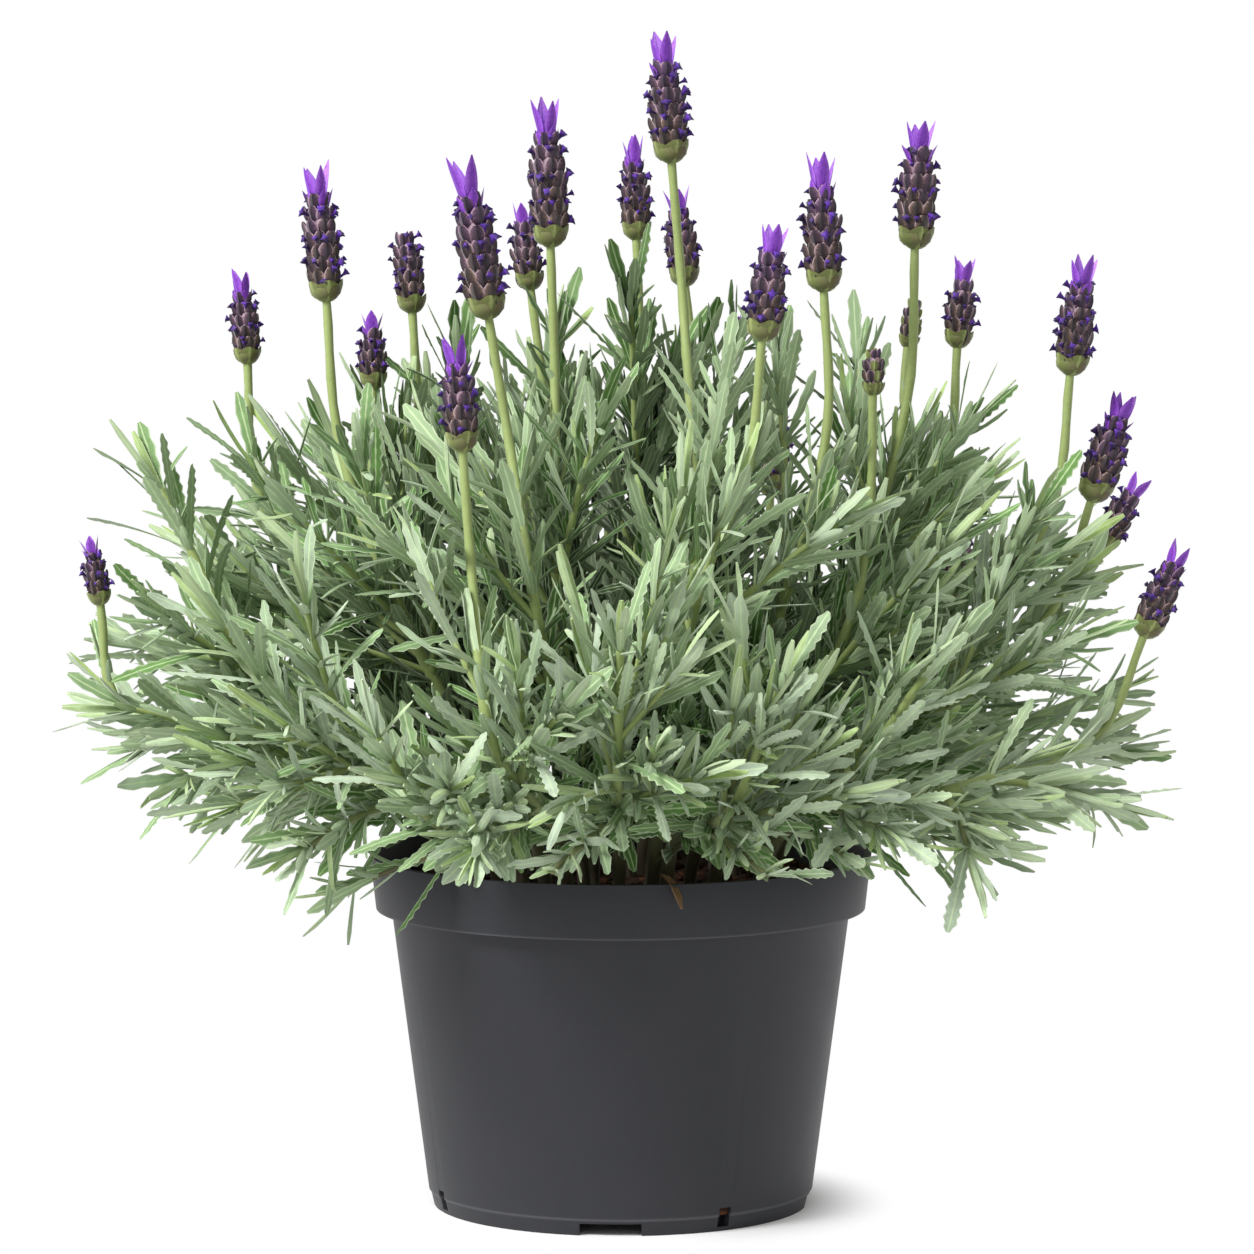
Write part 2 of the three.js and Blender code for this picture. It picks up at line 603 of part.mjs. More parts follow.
// The pot, the soil, the stems and the heads are placed first, and the leaves find room among them
const plant = new THREE.Group();
const pot = makePot();
place('pot', 'pot', pot);
const soil = makeSoil(STEMS.map((row) => mainCurve(row).getPointAt(0)));
place('potting_soil', 'soil', soil);
plant.add(mesh('pot', pot, '#3c3c40', 0.55), mesh('potting_soil', soil, '#3a281c', 0.95));

const branches = [];
const samples = [];
let headCount = 0;
STEMS.forEach((row, index) => {
  const node = `leafy_stem_${number(index + 1)}`;
  const shoots = shootsOf(row);
  const main = shoots[0].curve;
  const foot = { ...main.rings[0], point: main.rings[0].point.clone().setZ(SOIL_LEVEL - HOLE_DEPTH) };
  const flowers = row.head ? [{ curve: main, ...row }] : [];
  const stems = [[foot, ...main.rings], ...shoots.slice(1).map((shoot) => shoot.curve.rings)];
  if (row.twin) {
    const curve = twinCurve(main, row.twin);
    flowers.push({ curve, ...row.twin });
    stems.push(curve.rings);
  }
  for (const flower of flowers) {
    headCount += 1;
    const name = `flower_head_${number(headCount)}`;
    const head = headSolid(flower, HEAD_SEED + headCount);
    place(name, 'head', head);
    plant.add(mesh(name, head, '#5f4a6e', 0.8));
    const stalk = stems.findIndex((rings) => rings.at(-1) === flower.curve.rings.at(-1));
    stems[stalk] = withCup(stems[stalk], flower);
  }
  for (const rings of stems) {
    const path = new THREE.CatmullRomCurve3(rings.map((ring) => ring.point));
    samples.push(...path.getSpacedPoints(SAMPLES).map((point) => ({ node, point })));
  }
  const buds = row.bud ? [headSolid(row.bud, HEAD_SEED, BUD_SINK)] : [];
  buds.forEach((bud) => place(node, 'bud', bud));
  branches.push({ node, shoots, stems, buds, seed: index });
});

for (const branch of branches) {
  branch.parts = branch.stems.map((rings) => growStem(branch.node, rings));
}

for (const { node, shoots, parts, buds, seed } of branches) {
  shoots.forEach((shoot, k) => parts.push(...growLeaves(node, shoot, LEAF_SEED + seed * 10 + k)));
  const solid = [...parts, ...buds].reduce((sum, part) => sum.add(part));
  plant.add(mesh(node, solid, LEAF_GREEN, 0.85));
}

export default plant;
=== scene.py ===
# %% [markdown]
# # A fringed lavender in its nursery pot
# The plant is a small shrub: about thirty stems rise from the soil, each with side shoots, pairs of
# toothed grey leaves, tufts of young leaves in their axils, and on most of them a violet head on a
# bare stalk. The CAD holds every stem, head and driving size. Here the same stems are grown again
# with finer leaves, florets and finishes, so that each piece stays where its CAD solid is.

# %% Load the frame
import math

import bmesh
import bpy
import numpy as np
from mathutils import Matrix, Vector


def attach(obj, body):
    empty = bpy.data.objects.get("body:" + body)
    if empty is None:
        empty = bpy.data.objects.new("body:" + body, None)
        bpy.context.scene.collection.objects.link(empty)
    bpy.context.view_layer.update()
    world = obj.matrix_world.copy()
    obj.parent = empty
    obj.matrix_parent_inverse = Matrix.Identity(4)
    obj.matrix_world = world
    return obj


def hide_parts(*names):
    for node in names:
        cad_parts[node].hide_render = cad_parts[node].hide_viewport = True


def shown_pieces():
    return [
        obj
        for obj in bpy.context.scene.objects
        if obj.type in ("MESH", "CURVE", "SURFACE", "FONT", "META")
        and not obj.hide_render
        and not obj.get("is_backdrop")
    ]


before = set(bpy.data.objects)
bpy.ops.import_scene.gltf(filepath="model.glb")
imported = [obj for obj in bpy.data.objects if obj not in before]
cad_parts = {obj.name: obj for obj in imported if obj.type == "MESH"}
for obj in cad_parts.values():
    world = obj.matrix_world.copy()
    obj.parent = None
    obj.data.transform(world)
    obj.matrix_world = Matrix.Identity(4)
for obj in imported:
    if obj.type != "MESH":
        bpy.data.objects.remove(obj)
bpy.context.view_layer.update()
MM = 0.001

# %% [markdown]
# ## Camera
# The photo was taken from a little above the middle of the plant with a long lens, so that the pot's
# sides hardly converge. An orthographic camera would come near, but it would hide that the pot's
# rim is seen from above. The distance is 2.2 m and the tilt about 5 degrees down. The focal length
# in pixels follows from the rim: its real width and distance give its width in the photo.

# %% Camera
PHOTO_PIXELS = 1254
FOCAL_PIXELS = 5848
SENSOR_WIDTH = 36
CAMERA_PLACE = (2.4 * MM, -2200 * MM, 417.6 * MM)
CAMERA_TILT = 5.15

bpy.ops.object.camera_add(location=CAMERA_PLACE, rotation=(math.radians(90 - CAMERA_TILT), 0, 0))
camera = bpy.context.object
camera.name = "photo_camera"
camera.data.sensor_width = SENSOR_WIDTH
camera.data.lens = SENSOR_WIDTH * FOCAL_PIXELS / PHOTO_PIXELS
bpy.context.scene.camera = camera
print("lens in mm:", round(camera.data.lens, 1))

# %% [markdown]
# ## Colours and nodes
# A colour is written as the sRGB hex value that a paint program shows, and one function turns it to
# the linear numbers that light adds up in. A second small function adds a shader node, sets its
# values and links its inputs, so a material below reads as a list of what it is made of. It could be
# clicked together in the node editor, but a list can be read, compared and changed in one place.


# %% Helpers for materials
def linear(hex_colour):
    """An sRGB hex colour as linear RGBA."""
    parts = [int(hex_colour[i:i + 2], 16) / 255 for i in (1, 3, 5)]
    return [c / 12.92 if c <= 0.04045 else ((c + 0.055) / 1.055) ** 2.4 for c in parts] + [1]


def new_material(name):
    """A material with an empty node tree."""
    material = bpy.data.materials.new(name)
    material.use_nodes = True
    material.node_tree.nodes.clear()
    return material


def add(owner, kind, inputs=None, stops=None, **settings):
    """Adds a node. An input is set to a value, or linked to an output or a node's main output."""
    tree = owner.node_tree
    node = tree.nodes.new(kind)
    for name, value in settings.items():
        setattr(node, name, value)
    for name, value in (inputs or {}).items():
        if isinstance(value, bpy.types.Node):
            value = next(output for output in value.outputs if output.enabled)
        if isinstance(value, bpy.types.NodeSocket):
            tree.links.new(value, node.inputs[name])
        else:
            node.inputs[name].default_value = value
    for place, (position, colour) in enumerate(stops or []):
        elements = node.color_ramp.elements
        element = elements[place] if place < 2 else elements.new(position)
        element.position = position
        element.color = linear(colour)
    return node


# A Mix node for colours has sockets for numbers too, so its colour sockets are picked by number
FACTOR, FIRST, SECOND = 0, 6, 7
print("middle grey as linear:", round(linear("#808080")[0], 3))

# %% [markdown]
# ## Light and world
# A catalogue photo of this kind is taken in a white tent. Walls of cloth could be modelled, but a
# world whose light depends on the direction does the same at once. It is brightest overhead and a
# little brighter on the left, where the lamp shines through the cloth, and the camera sees it plain
# white. One large lamp from the upper left shapes the leaves and a weak one opens the shadows.

# %% World and lamps
WHITE = 1.0
TENT_WALL = 0.34
TENT_CEILING = 0.86
TENT_LEFT = 1.3
TENT_RIGHT = 0.72
KEY_LAMP = {"place": (-1.3, -1.05, 1.6), "size": 0.7, "watts": 62}
FILL_LAMP = {"place": (1.5, -1.2, 0.9), "size": 1.6, "watts": 1.5}
AIM = Vector((0, 0, 0.25))

world = bpy.data.worlds.new("white_tent")
world.use_nodes = True
world.node_tree.nodes.clear()
is_seen = add(world, "ShaderNodeLightPath").outputs["Is Camera Ray"]
toward_tent = add(world, "ShaderNodeTexCoord").outputs["Generated"]
tent_parts = add(world, "ShaderNodeSeparateXYZ", {"Vector": toward_tent})
by_height = add(world, "ShaderNodeMapRange", {
    "Value": tent_parts.outputs["Z"], "To Min": TENT_WALL, "To Max": TENT_CEILING})
by_side = add(world, "ShaderNodeMapRange", {
    "Value": tent_parts.outputs["X"], "From Min": -1, "To Min": TENT_LEFT, "To Max": TENT_RIGHT})
tent_light = add(world, "ShaderNodeMath", {
    0: by_height, 1: by_side}, operation="MULTIPLY")
tent = add(world, "ShaderNodeMapRange", {
    "Value": is_seen, "To Min": tent_light, "To Max": WHITE})
tent_wall = add(world, "ShaderNodeBackground", {"Strength": tent})
tent_wall.inputs["Color"].default_value = (1, 1, 1, 1)
add(world, "ShaderNodeOutputWorld", {"Surface": tent_wall})
bpy.context.scene.world = world
bpy.context.scene.view_settings.view_transform = "Standard"
bpy.context.scene.view_settings.look = "None"


def add_lamp(name, place, size, watts):
    """A square soft lamp that faces the plant."""
    bpy.ops.object.light_add(type="AREA", location=place)
    lamp = bpy.context.object
    lamp.name = name
    lamp.data.size = size
    lamp.data.energy = watts
    lamp.rotation_euler = (AIM - Vector(place)).to_track_quat("-Z", "Y").to_euler()
    return lamp


key_lamp = add_lamp("key_lamp", **KEY_LAMP)
fill_lamp = add_lamp("fill_lamp", **FILL_LAMP)
print("lamps in watts:", key_lamp.data.energy, fill_lamp.data.energy)

# %% [markdown]
# ## Floor
# The pot stands on a white paper sweep. A curved sweep would show an edge from behind. So the floor
# is flat: near the pot it is white paper that takes its shadow, and further away it fades into the
# same white as the world, so no edge shows from any side.

# %% Floor
FLOOR_RADIUS = 6.0
FLOOR_PAPER = "#f4f4f4"
FLOOR_FADE = {"from": 0.064, "to": 0.106}

white_paper = new_material("seamless_white_paper")
object_place = add(white_paper, "ShaderNodeTexCoord").outputs["Object"]
distance = add(white_paper, "ShaderNodeVectorMath", {0: object_place}, operation="LENGTH")
away = add(white_paper, "ShaderNodeMapRange", {
    "Value": distance, "From Min": FLOOR_FADE["from"], "From Max": FLOOR_FADE["to"],
}, interpolation_type="SMOOTHSTEP")
paper = add(white_paper, "ShaderNodeBsdfDiffuse", {"Color": linear(FLOOR_PAPER)})
glow = add(white_paper, "ShaderNodeEmission", {"Color": (1, 1, 1, 1), "Strength": WHITE})
fade = add(white_paper, "ShaderNodeMixShader", {
    0: away, 1: paper, 2: glow,
})
add(white_paper, "ShaderNodeOutputMaterial", {"Surface": fade})

bpy.ops.mesh.primitive_circle_add(vertices=64, radius=FLOOR_RADIUS, fill_type="NGON")
floor = bpy.context.object
floor.name = "floor"
floor.data.materials.append(white_paper)
floor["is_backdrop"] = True
print("floor of", 2 * FLOOR_RADIUS, "m made")

# %% [markdown]
# ## Finish of the pot: moulded polypropylene
# Nursery pots are injection moulded from recycled polypropylene, coloured with carbon black. The
# mould leaves a satin skin that is a little cloudy, with fine dust from the potting bench, and the
# sharp edges of the band and the foot catch the light as thin pale lines. A painted picture could
# show all that, but it would blur from near and have a seam. Two noises at their real sizes make
# the cloud and the dust, and the pale edge lines are a painted highlight: two thin bands at the
# heights of those edges.

# %% Pot plastic
POT_DARK = "#303135"
POT_CLOUD = "#38383c"
POT_DUST = "#47474b"
# Painted highlight: the pale grey of the band's and the foot's edges
POT_EDGE_HIGHLIGHT = "#66666a"
CLOUD_GRAIN = 25 * MM
DUST_GRAIN = 0.8 * MM
# Painted highlight: the width of the pale lines on those edges
EDGE_HIGHLIGHT_WIDTH = 0.9 * MM
POT_HEIGHT = 133.7 * MM
BAND_HEIGHT = 20.6 * MM
BAND_BOTTOM = POT_HEIGHT - BAND_HEIGHT
FOOT_HEIGHT = 6 * MM

pot_plastic = new_material("moulded_polypropylene_carbon_black")
pot_place = add(pot_plastic, "ShaderNodeTexCoord").outputs["Object"]
cloud = add(pot_plastic, "ShaderNodeTexNoise", {
    "Vector": pot_place, "Scale": 1 / CLOUD_GRAIN, "Detail": 3, "Roughness": 0.55})
dust = add(pot_plastic, "ShaderNodeTexNoise", {
    "Vector": pot_place, "Scale": 1 / DUST_GRAIN, "Detail": 2, "Roughness": 0.7})
cloudy = add(pot_plastic, "ShaderNodeMix", {
    FACTOR: cloud, FIRST: linear(POT_DARK), SECOND: linear(POT_CLOUD),
}, data_type="RGBA")
speck = add(pot_plastic, "ShaderNodeMapRange", {
    "Value": dust, "From Min": 0.6, "From Max": 0.8, "To Max": 0.35})
dusty = add(pot_plastic, "ShaderNodeMix", {
    FACTOR: speck, FIRST: cloudy, SECOND: linear(POT_DUST),
}, data_type="RGBA")
pot_height = add(pot_plastic, "ShaderNodeSeparateXYZ", {"Vector": pot_place}).outputs["Z"]
pot_colour = dusty
# Painted highlight: a thin pale band round the pot at the foot's edge and at the band's lower edge
for height in (FOOT_HEIGHT, BAND_BOTTOM):
    off = add(pot_plastic, "ShaderNodeMath", {0: pot_height, 1: height}, operation="SUBTRACT")
    far = add(pot_plastic, "ShaderNodeMath", {0: off}, operation="ABSOLUTE")
    highlighted = add(pot_plastic, "ShaderNodeMapRange", {
        "Value": far, "From Min": EDGE_HIGHLIGHT_WIDTH, "From Max": EDGE_HIGHLIGHT_WIDTH / 3,
        "To Max": 0.4})
    pot_colour = add(pot_plastic, "ShaderNodeMix", {
        FACTOR: highlighted, FIRST: pot_colour,
        SECOND: linear(POT_EDGE_HIGHLIGHT)}, data_type="RGBA")
pot_bump = add(pot_plastic, "ShaderNodeBump", {
    "Height": dust, "Strength": 0.25, "Distance": 0.05 * MM})
pot_gloss = add(pot_plastic, "ShaderNodeMapRange", {
    "Value": cloud, "To Min": 0.42, "To Max": 0.56})
pot_skin = add(pot_plastic, "ShaderNodeBsdfPrincipled", {
    "Base Color": pot_colour, "Roughness": pot_gloss,
    "IOR": 1.49, "Specular IOR Level": 0.2, "Normal": pot_bump})
add(pot_plastic, "ShaderNodeOutputMaterial", {"Surface": pot_skin})
print("pot plastic made, edges rubbed at", round(BAND_BOTTOM / MM, 1), "mm and at the foot")

# %% [markdown]
# ## Finish of the soil: peat and bark
# Potting soil is dark damp peat with lighter crumbs of bark. Its colour could be one dark brown,
# but the bark is what makes it read as potting soil. Cells of 3 mm set the bark apart and a finer
# noise of 0.7 mm roughens it all. It is nearly fully rough, so only the bump catches the light.

# %% Potting soil
PEAT = "#20150f"
PEAT_LIGHT = "#4a2f1f"
BARK = "#6a4226"
BARK_GRAIN = 3 * MM
PEAT_GRAIN = 0.7 * MM

peat = new_material("damp_peat_and_bark")
peat_place = add(peat, "ShaderNodeTexCoord").outputs["Object"]
bark_cells = add(peat, "ShaderNodeTexVoronoi", {"Vector": peat_place, "Scale": 1 / BARK_GRAIN})
grit = add(peat, "ShaderNodeTexNoise", {
    "Vector": peat_place, "Scale": 1 / PEAT_GRAIN, "Detail": 4, "Roughness": 0.65})
peat_mix = add(peat, "ShaderNodeMix", {
    FACTOR: grit, FIRST: linear(PEAT), SECOND: linear(PEAT_LIGHT)},
    data_type="RGBA")
is_bark = add(peat, "ShaderNodeMapRange", {
    "Value": bark_cells.outputs["Color"], "From Min": 0.62, "From Max": 0.9})
peat_colour = add(peat, "ShaderNodeMix", {
    FACTOR: is_bark, FIRST: peat_mix, SECOND: linear(BARK)},
    data_type="RGBA")
peat_bump = add(peat, "ShaderNodeBump", {
    "Height": grit, "Strength": 0.9, "Distance": 0.8 * MM})
peat_skin = add(peat, "ShaderNodeBsdfPrincipled", {
    "Base Color": peat_colour, "Roughness": 0.95, "IOR": 1.4,
    "Normal": peat_bump})
add(peat, "ShaderNodeOutputMaterial", {"Surface": peat_skin})
print("potting soil made")

# %% [markdown]
# ## Finish of the leaves: green under a felt of hairs
# A lavender leaf is green, but a felt of short branched hairs scatters light over it and makes it
# grey. Real hairs would be far too many, so the felt is a noise with a little sheen. Leaves on high
# shoots are greener, those in front more silver, and the youngest are yellow green. A material for
# each would be slow to change, so each leaf carries one number, its tone, and one material reads it.
# The UV map runs across the leaf and from its root to its tip, so the pale midrib and the pale
# rolled margin follow the leaf.

# %% Leaf materials
LEAF_TONES = [
    (0.0, "#1b3609"), (0.2, "#3d6720"), (0.4, "#628946"), (0.62, "#86a272"), (0.84, "#b0c0ab"),
    (1.0, "#a3bd6c")]
MIDRIB = "#c0d3a4"
MARGIN = "#c6d5b2"
UNDERSIDE = "#adbf9c"
TEETH_ALONG = 13
FELT_GRAIN = 0.6 * MM
PATCH_GRAIN = 9 * MM


def leaf_material(name, underside):
    """The felted leaf, from above or from below."""
    leaf = new_material(name)
    tone = add(leaf, "ShaderNodeAttribute", attribute_name="tone")
    blade_colour = add(leaf, "ShaderNodeValToRGB", {"Fac": tone.outputs["Fac"]}, LEAF_TONES)
    place = add(leaf, "ShaderNodeTexCoord").outputs["Object"]
    felt = add(leaf, "ShaderNodeTexNoise", {
        "Vector": place, "Scale": 1 / FELT_GRAIN, "Detail": 2, "Roughness": 0.6})
    patches = add(leaf, "ShaderNodeTexNoise", {
        "Vector": place, "Scale": 1 / PATCH_GRAIN, "Detail": 2, "Roughness": 0.5})
    uv = add(leaf, "ShaderNodeUVMap", uv_map="UVMap")
    across = add(leaf, "ShaderNodeSeparateXYZ", {"Vector": uv}).outputs["X"]
    centred = add(leaf, "ShaderNodeMath", {0: across, 1: 0.5}, operation="SUBTRACT")
    from_rib = add(leaf, "ShaderNodeMath", {0: centred}, operation="ABSOLUTE")
    rib = add(leaf, "ShaderNodeMapRange", {
        "Value": from_rib, "From Min": 0.09, "From Max": 0.02, "To Max": 0.75})
    # The rolled margin bulges at each small tooth, so the pale edge is wider there
    along = add(leaf, "ShaderNodeSeparateXYZ", {"Vector": uv}).outputs["Y"]
    turned = add(leaf, "ShaderNodeMath", {0: along, 1: TEETH_ALONG * math.tau}, operation="MULTIPLY")
    tooth = add(leaf, "ShaderNodeMath", {0: turned}, operation="SINE")
    bulged = add(leaf, "ShaderNodeMath", {
        0: tooth, 1: 0.05, 2: from_rib}, operation="MULTIPLY_ADD")
    edge = add(leaf, "ShaderNodeMapRange", {
        "Value": bulged, "From Min": 0.36, "From Max": 0.46, "To Max": 0.75})
    shade = add(leaf, "ShaderNodeMapRange", {
        "Value": patches, "From Min": 0.3, "From Max": 0.7,
        "To Min": 0.74, "To Max": 1.16})
    fuzz = add(leaf, "ShaderNodeMapRange", {
        "Value": felt, "From Min": 0.3, "From Max": 0.7, "To Min": 0.9, "To Max": 1.1})
    value = add(leaf, "ShaderNodeMath", {
        0: shade, 1: fuzz}, operation="MULTIPLY")
    lit = add(leaf, "ShaderNodeHueSaturation", {
        "Color": blade_colour, "Value": value})
    if underside:
        lit = add(leaf, "ShaderNodeMix", {
            FACTOR: 0.55, FIRST: lit, SECOND: linear(UNDERSIDE)}, data_type="RGBA")
    with_rib = add(leaf, "ShaderNodeMix", {
        FACTOR: rib, FIRST: lit, SECOND: linear(MIDRIB)}, data_type="RGBA")
    with_edge = add(leaf, "ShaderNodeMix", {
        FACTOR: edge, FIRST: with_rib, SECOND: linear(MARGIN)}, data_type="RGBA")
    felt_bump = add(leaf, "ShaderNodeBump", {
        "Height": felt, "Strength": 0.35, "Distance": 0.15 * MM})
    edge_bump = add(leaf, "ShaderNodeBump", {
        "Height": edge, "Strength": 0.6, "Distance": 0.35 * MM,
        "Normal": felt_bump})
    skin = add(leaf, "ShaderNodeBsdfPrincipled", {
        "Base Color": with_edge, "Roughness": 0.72, "IOR": 1.42,
        "Sheen Weight": 0.15, "Sheen Roughness": 0.45, "Normal": edge_bump})
    add(leaf, "ShaderNodeOutputMaterial", {"Surface": skin})
    return leaf


leaf_top = leaf_material("felted_leaf_upper_side", underside=False)
leaf_below = leaf_material("felted_leaf_underside", underside=True)
print("leaf materials made with", len(LEAF_TONES), "tones")

# %% [markdown]
# ## Finish of the stems: young square shoots
# Young lavender shoots are pale yellow green and finely hairy. Low down they turn to a thin
# grey-brown bark, and its colour here is darker still as painted shade under the foliage. Two
# materials would meet in a hard line, so one material changes its colour with the height above
# the soil.

# %% Stem material
STEM_YOUNG = "#9aa96c"
STEM_MID = "#829350"
# The bark's own grey brown, made darker as painted shade under the foliage
STEM_BARK_AND_SHADE = "#5c5240"
STEM_GRAIN = 2.5 * MM
# Below this height the stems carry the bark's colour and painted shade
BARK_AND_SHADE_ENDS = 130 * MM
YOUNG_STARTS = 175 * MM

shoot_skin = new_material("hairy_young_shoot")
shoot_place = add(shoot_skin, "ShaderNodeTexCoord").outputs["Object"]
shoot_noise = add(shoot_skin, "ShaderNodeTexNoise", {
    "Vector": shoot_place, "Scale": 1 / STEM_GRAIN, "Detail": 3, "Roughness": 0.6})
shoot_height = add(shoot_skin, "ShaderNodeSeparateXYZ", {"Vector": shoot_place}).outputs["Z"]
is_young = add(shoot_skin, "ShaderNodeMapRange", {
    "Value": shoot_height, "From Min": BARK_AND_SHADE_ENDS, "From Max": YOUNG_STARTS})
young = add(shoot_skin, "ShaderNodeMix", {
    FACTOR: shoot_noise, FIRST: linear(STEM_MID), SECOND: linear(STEM_YOUNG)},
    data_type="RGBA")
# Low down the colour turns to the bark's, which is partly painted shade
shoot_colour = add(shoot_skin, "ShaderNodeMix", {
    FACTOR: is_young, FIRST: linear(STEM_BARK_AND_SHADE), SECOND: young},
    data_type="RGBA")
shoot_bump = add(shoot_skin, "ShaderNodeBump", {
    "Height": shoot_noise, "Strength": 0.3, "Distance": 0.3 * MM})
shoot_bsdf = add(shoot_skin, "ShaderNodeBsdfPrincipled", {
    "Base Color": shoot_colour, "Roughness": 0.6, "IOR": 1.42,
    "Sheen Weight": 0.2, "Normal": shoot_bump})
add(shoot_skin, "ShaderNodeOutputMaterial", {"Surface": shoot_bsdf})
print("stem material made, young above", round(YOUNG_STARTS / MM), "mm")

# %% [markdown]
# ## Finishes of the flower heads
# Four tissues make a head. The bracts of its whorls are brown purple with a pale hairy rim, and
# near black at their root, which is painted shade for the gaps between them. The small flowers
# between them are deep violet and thin. The bracts of the crown are bright violet, darker at their
# base and along the middle. The cup of bracts under the head is olive green with pale keels.
# They differ in their colours only, so one function makes all four: two rows of colours from root to
# tip, which the copy's tone mixes, and lines that follow the middle or the rim of the UV map.

# %% Flower materials
def petal_material(name, dull, bright, grain, sheen, lines):
    """A petal or bract. Each line is a colour and where, from the middle out, it fades in fully."""
    petal = new_material(name)
    place = add(petal, "ShaderNodeTexCoord").outputs["Object"]
    uv = add(petal, "ShaderNodeUVMap", uv_map="UVMap")
    uv_parts = add(petal, "ShaderNodeSeparateXYZ", {"Vector": uv})
    hairs = add(petal, "ShaderNodeTexNoise", {
        "Vector": place, "Scale": 1 / grain, "Detail": 3, "Roughness": 0.65})
    shift = add(petal, "ShaderNodeMapRange", {
        "Value": hairs, "From Min": 0.3, "From Max": 0.7,
        "To Min": -0.14, "To Max": 0.14})
    along = add(petal, "ShaderNodeMath", {
        0: uv_parts.outputs["Y"], 1: shift}, operation="ADD")
    tone = add(petal, "ShaderNodeAttribute", attribute_name="tone")
    dull_row = add(petal, "ShaderNodeValToRGB", {"Fac": along}, dull)
    bright_row = add(petal, "ShaderNodeValToRGB", {"Fac": along}, bright)
    colour = add(petal, "ShaderNodeMix", {
        FACTOR: tone.outputs["Fac"], FIRST: dull_row,
        SECOND: bright_row}, data_type="RGBA")
    centred = add(petal, "ShaderNodeMath", {0: uv_parts.outputs["X"], 1: 0.5}, operation="SUBTRACT")
    from_middle = add(petal, "ShaderNodeMath", {0: centred}, operation="ABSOLUTE")
    for line_colour, faint, full in lines:
        line = add(petal, "ShaderNodeMapRange", {
            "Value": from_middle, "From Min": faint, "From Max": full,
            "To Max": 0.7})
        colour = add(petal, "ShaderNodeMix", {
            FACTOR: line, FIRST: colour,
            SECOND: linear(line_colour)}, data_type="RGBA")
    bump = add(petal, "ShaderNodeBump", {
        "Height": hairs, "Strength": 0.4, "Distance": 0.2 * MM})
    skin = add(petal, "ShaderNodeBsdfPrincipled", {
        "Base Color": colour, "Roughness": 0.6, "IOR": 1.4,
        "Sheen Weight": sheen, "Normal": bump})
    add(petal, "ShaderNodeOutputMaterial", {"Surface": skin})
    return petal


# Both rows start near black at the root: painted shade for the gaps deep between the bracts
bract_skin = petal_material("hairy_fertile_bract", [
    (0.0, "#1b1216"), (0.3, "#463530"), (0.55, "#937a60"), (0.88, "#b0957c"), (1.0, "#7f5c84")], [
    (0.0, "#1e1226"), (0.3, "#472b50"), (0.55, "#8c6084"), (0.88, "#a67ea8"), (1.0, "#8a4cb2")],
    0.5 * MM, 0.2, [("#b9a0b4", 0.38, 0.5)])
floret_skin = petal_material("thin_violet_floret", [
    (0.0, "#1f0d38"), (0.6, "#34155f"), (1.0, "#421c7a")], [
    (0.0, "#2c1250"), (0.6, "#4c2290"), (1.0, "#6434ac")], 0.6 * MM, 0.1, [])
crown_skin = petal_material("bright_violet_bract", [
    (0.0, "#5a1f8e"), (0.3, "#7a34b2"), (0.7, "#9350c8"), (1.0, "#a263d2")], [
    (0.0, "#6a28a2"), (0.3, "#9350c8"), (0.7, "#b277e0"), (1.0, "#bd8ce4")], 1.2 * MM, 0.1,
    [("#8440bc", 0.1, 0.02)])
cup_skin = petal_material("olive_green_bract", [
    (0.0, "#66723a"), (0.6, "#595c30"), (0.92, "#5a5034"), (1.0, "#54404c")], [
    (0.0, "#727e44"), (0.6, "#686a3a"), (0.92, "#685c3e"), (1.0, "#604a58")], 0.6 * MM, 0.15,
    [("#9fa86a", 0.14, 0.03), ("#6c6a46", 0.42, 0.5)])
print("flower materials made")

# %% [markdown]
# ## Finish of a dried leaf
# A dead leaf loses its felt and its green and turns a dull brown, darker in patches. The leaf
# material could be tinted for it, but it would keep the pale midrib and margin, which a dried leaf
# does not show. So it has a plain brown noise of its own.

# %% Dried leaf
DRY_PALE = "#947757"
DRY_DARK = "#684832"
DRY_GRAIN = 3 * MM

dry_leaf_skin = new_material("dried_brown_leaf")
dry_place = add(dry_leaf_skin, "ShaderNodeTexCoord").outputs["Object"]
dry_noise = add(dry_leaf_skin, "ShaderNodeTexNoise", {
    "Vector": dry_place, "Scale": 1 / DRY_GRAIN, "Detail": 3, "Roughness": 0.6})
dry_colour = add(dry_leaf_skin, "ShaderNodeMix", {
    FACTOR: dry_noise, FIRST: linear(DRY_DARK), SECOND: linear(DRY_PALE)},
    data_type="RGBA")
dry_skin = add(dry_leaf_skin, "ShaderNodeBsdfPrincipled", {
    "Base Color": dry_colour, "Roughness": 0.8, "IOR": 1.42})
add(dry_leaf_skin, "ShaderNodeOutputMaterial", {"Surface": dry_skin})
print("dried leaf material made")

# %% [markdown]
# ## Working as by hand
# An operator acts on all that is selected, and the loaded CAD nodes are selected. These helpers do
# what a hand does again and again: select one object alone, pick vertices by their place, start a
# shape from a disc, draw it up ring by ring, apply a modifier, smooth, join and coat a piece.


# %% Helpers for modelling
def only(piece):
    """Selects one object alone and makes it active."""
    bpy.ops.object.select_all(action="DESELECT")
    piece.select_set(True)
    bpy.context.view_layer.objects.active = piece
    return piece


def pick(test):
    """In edit mode, selects the vertices whose place passes the test, and the faces they close."""
    bpy.ops.mesh.select_mode(type="VERT")
    bpy.ops.mesh.select_all(action="DESELECT")
    work = bmesh.from_edit_mesh(bpy.context.object.data)
    for vertex in work.verts:
        vertex.select_set(bool(test(vertex.co)))
    work.select_flush(True)
    bmesh.update_edit_mesh(bpy.context.object.data)


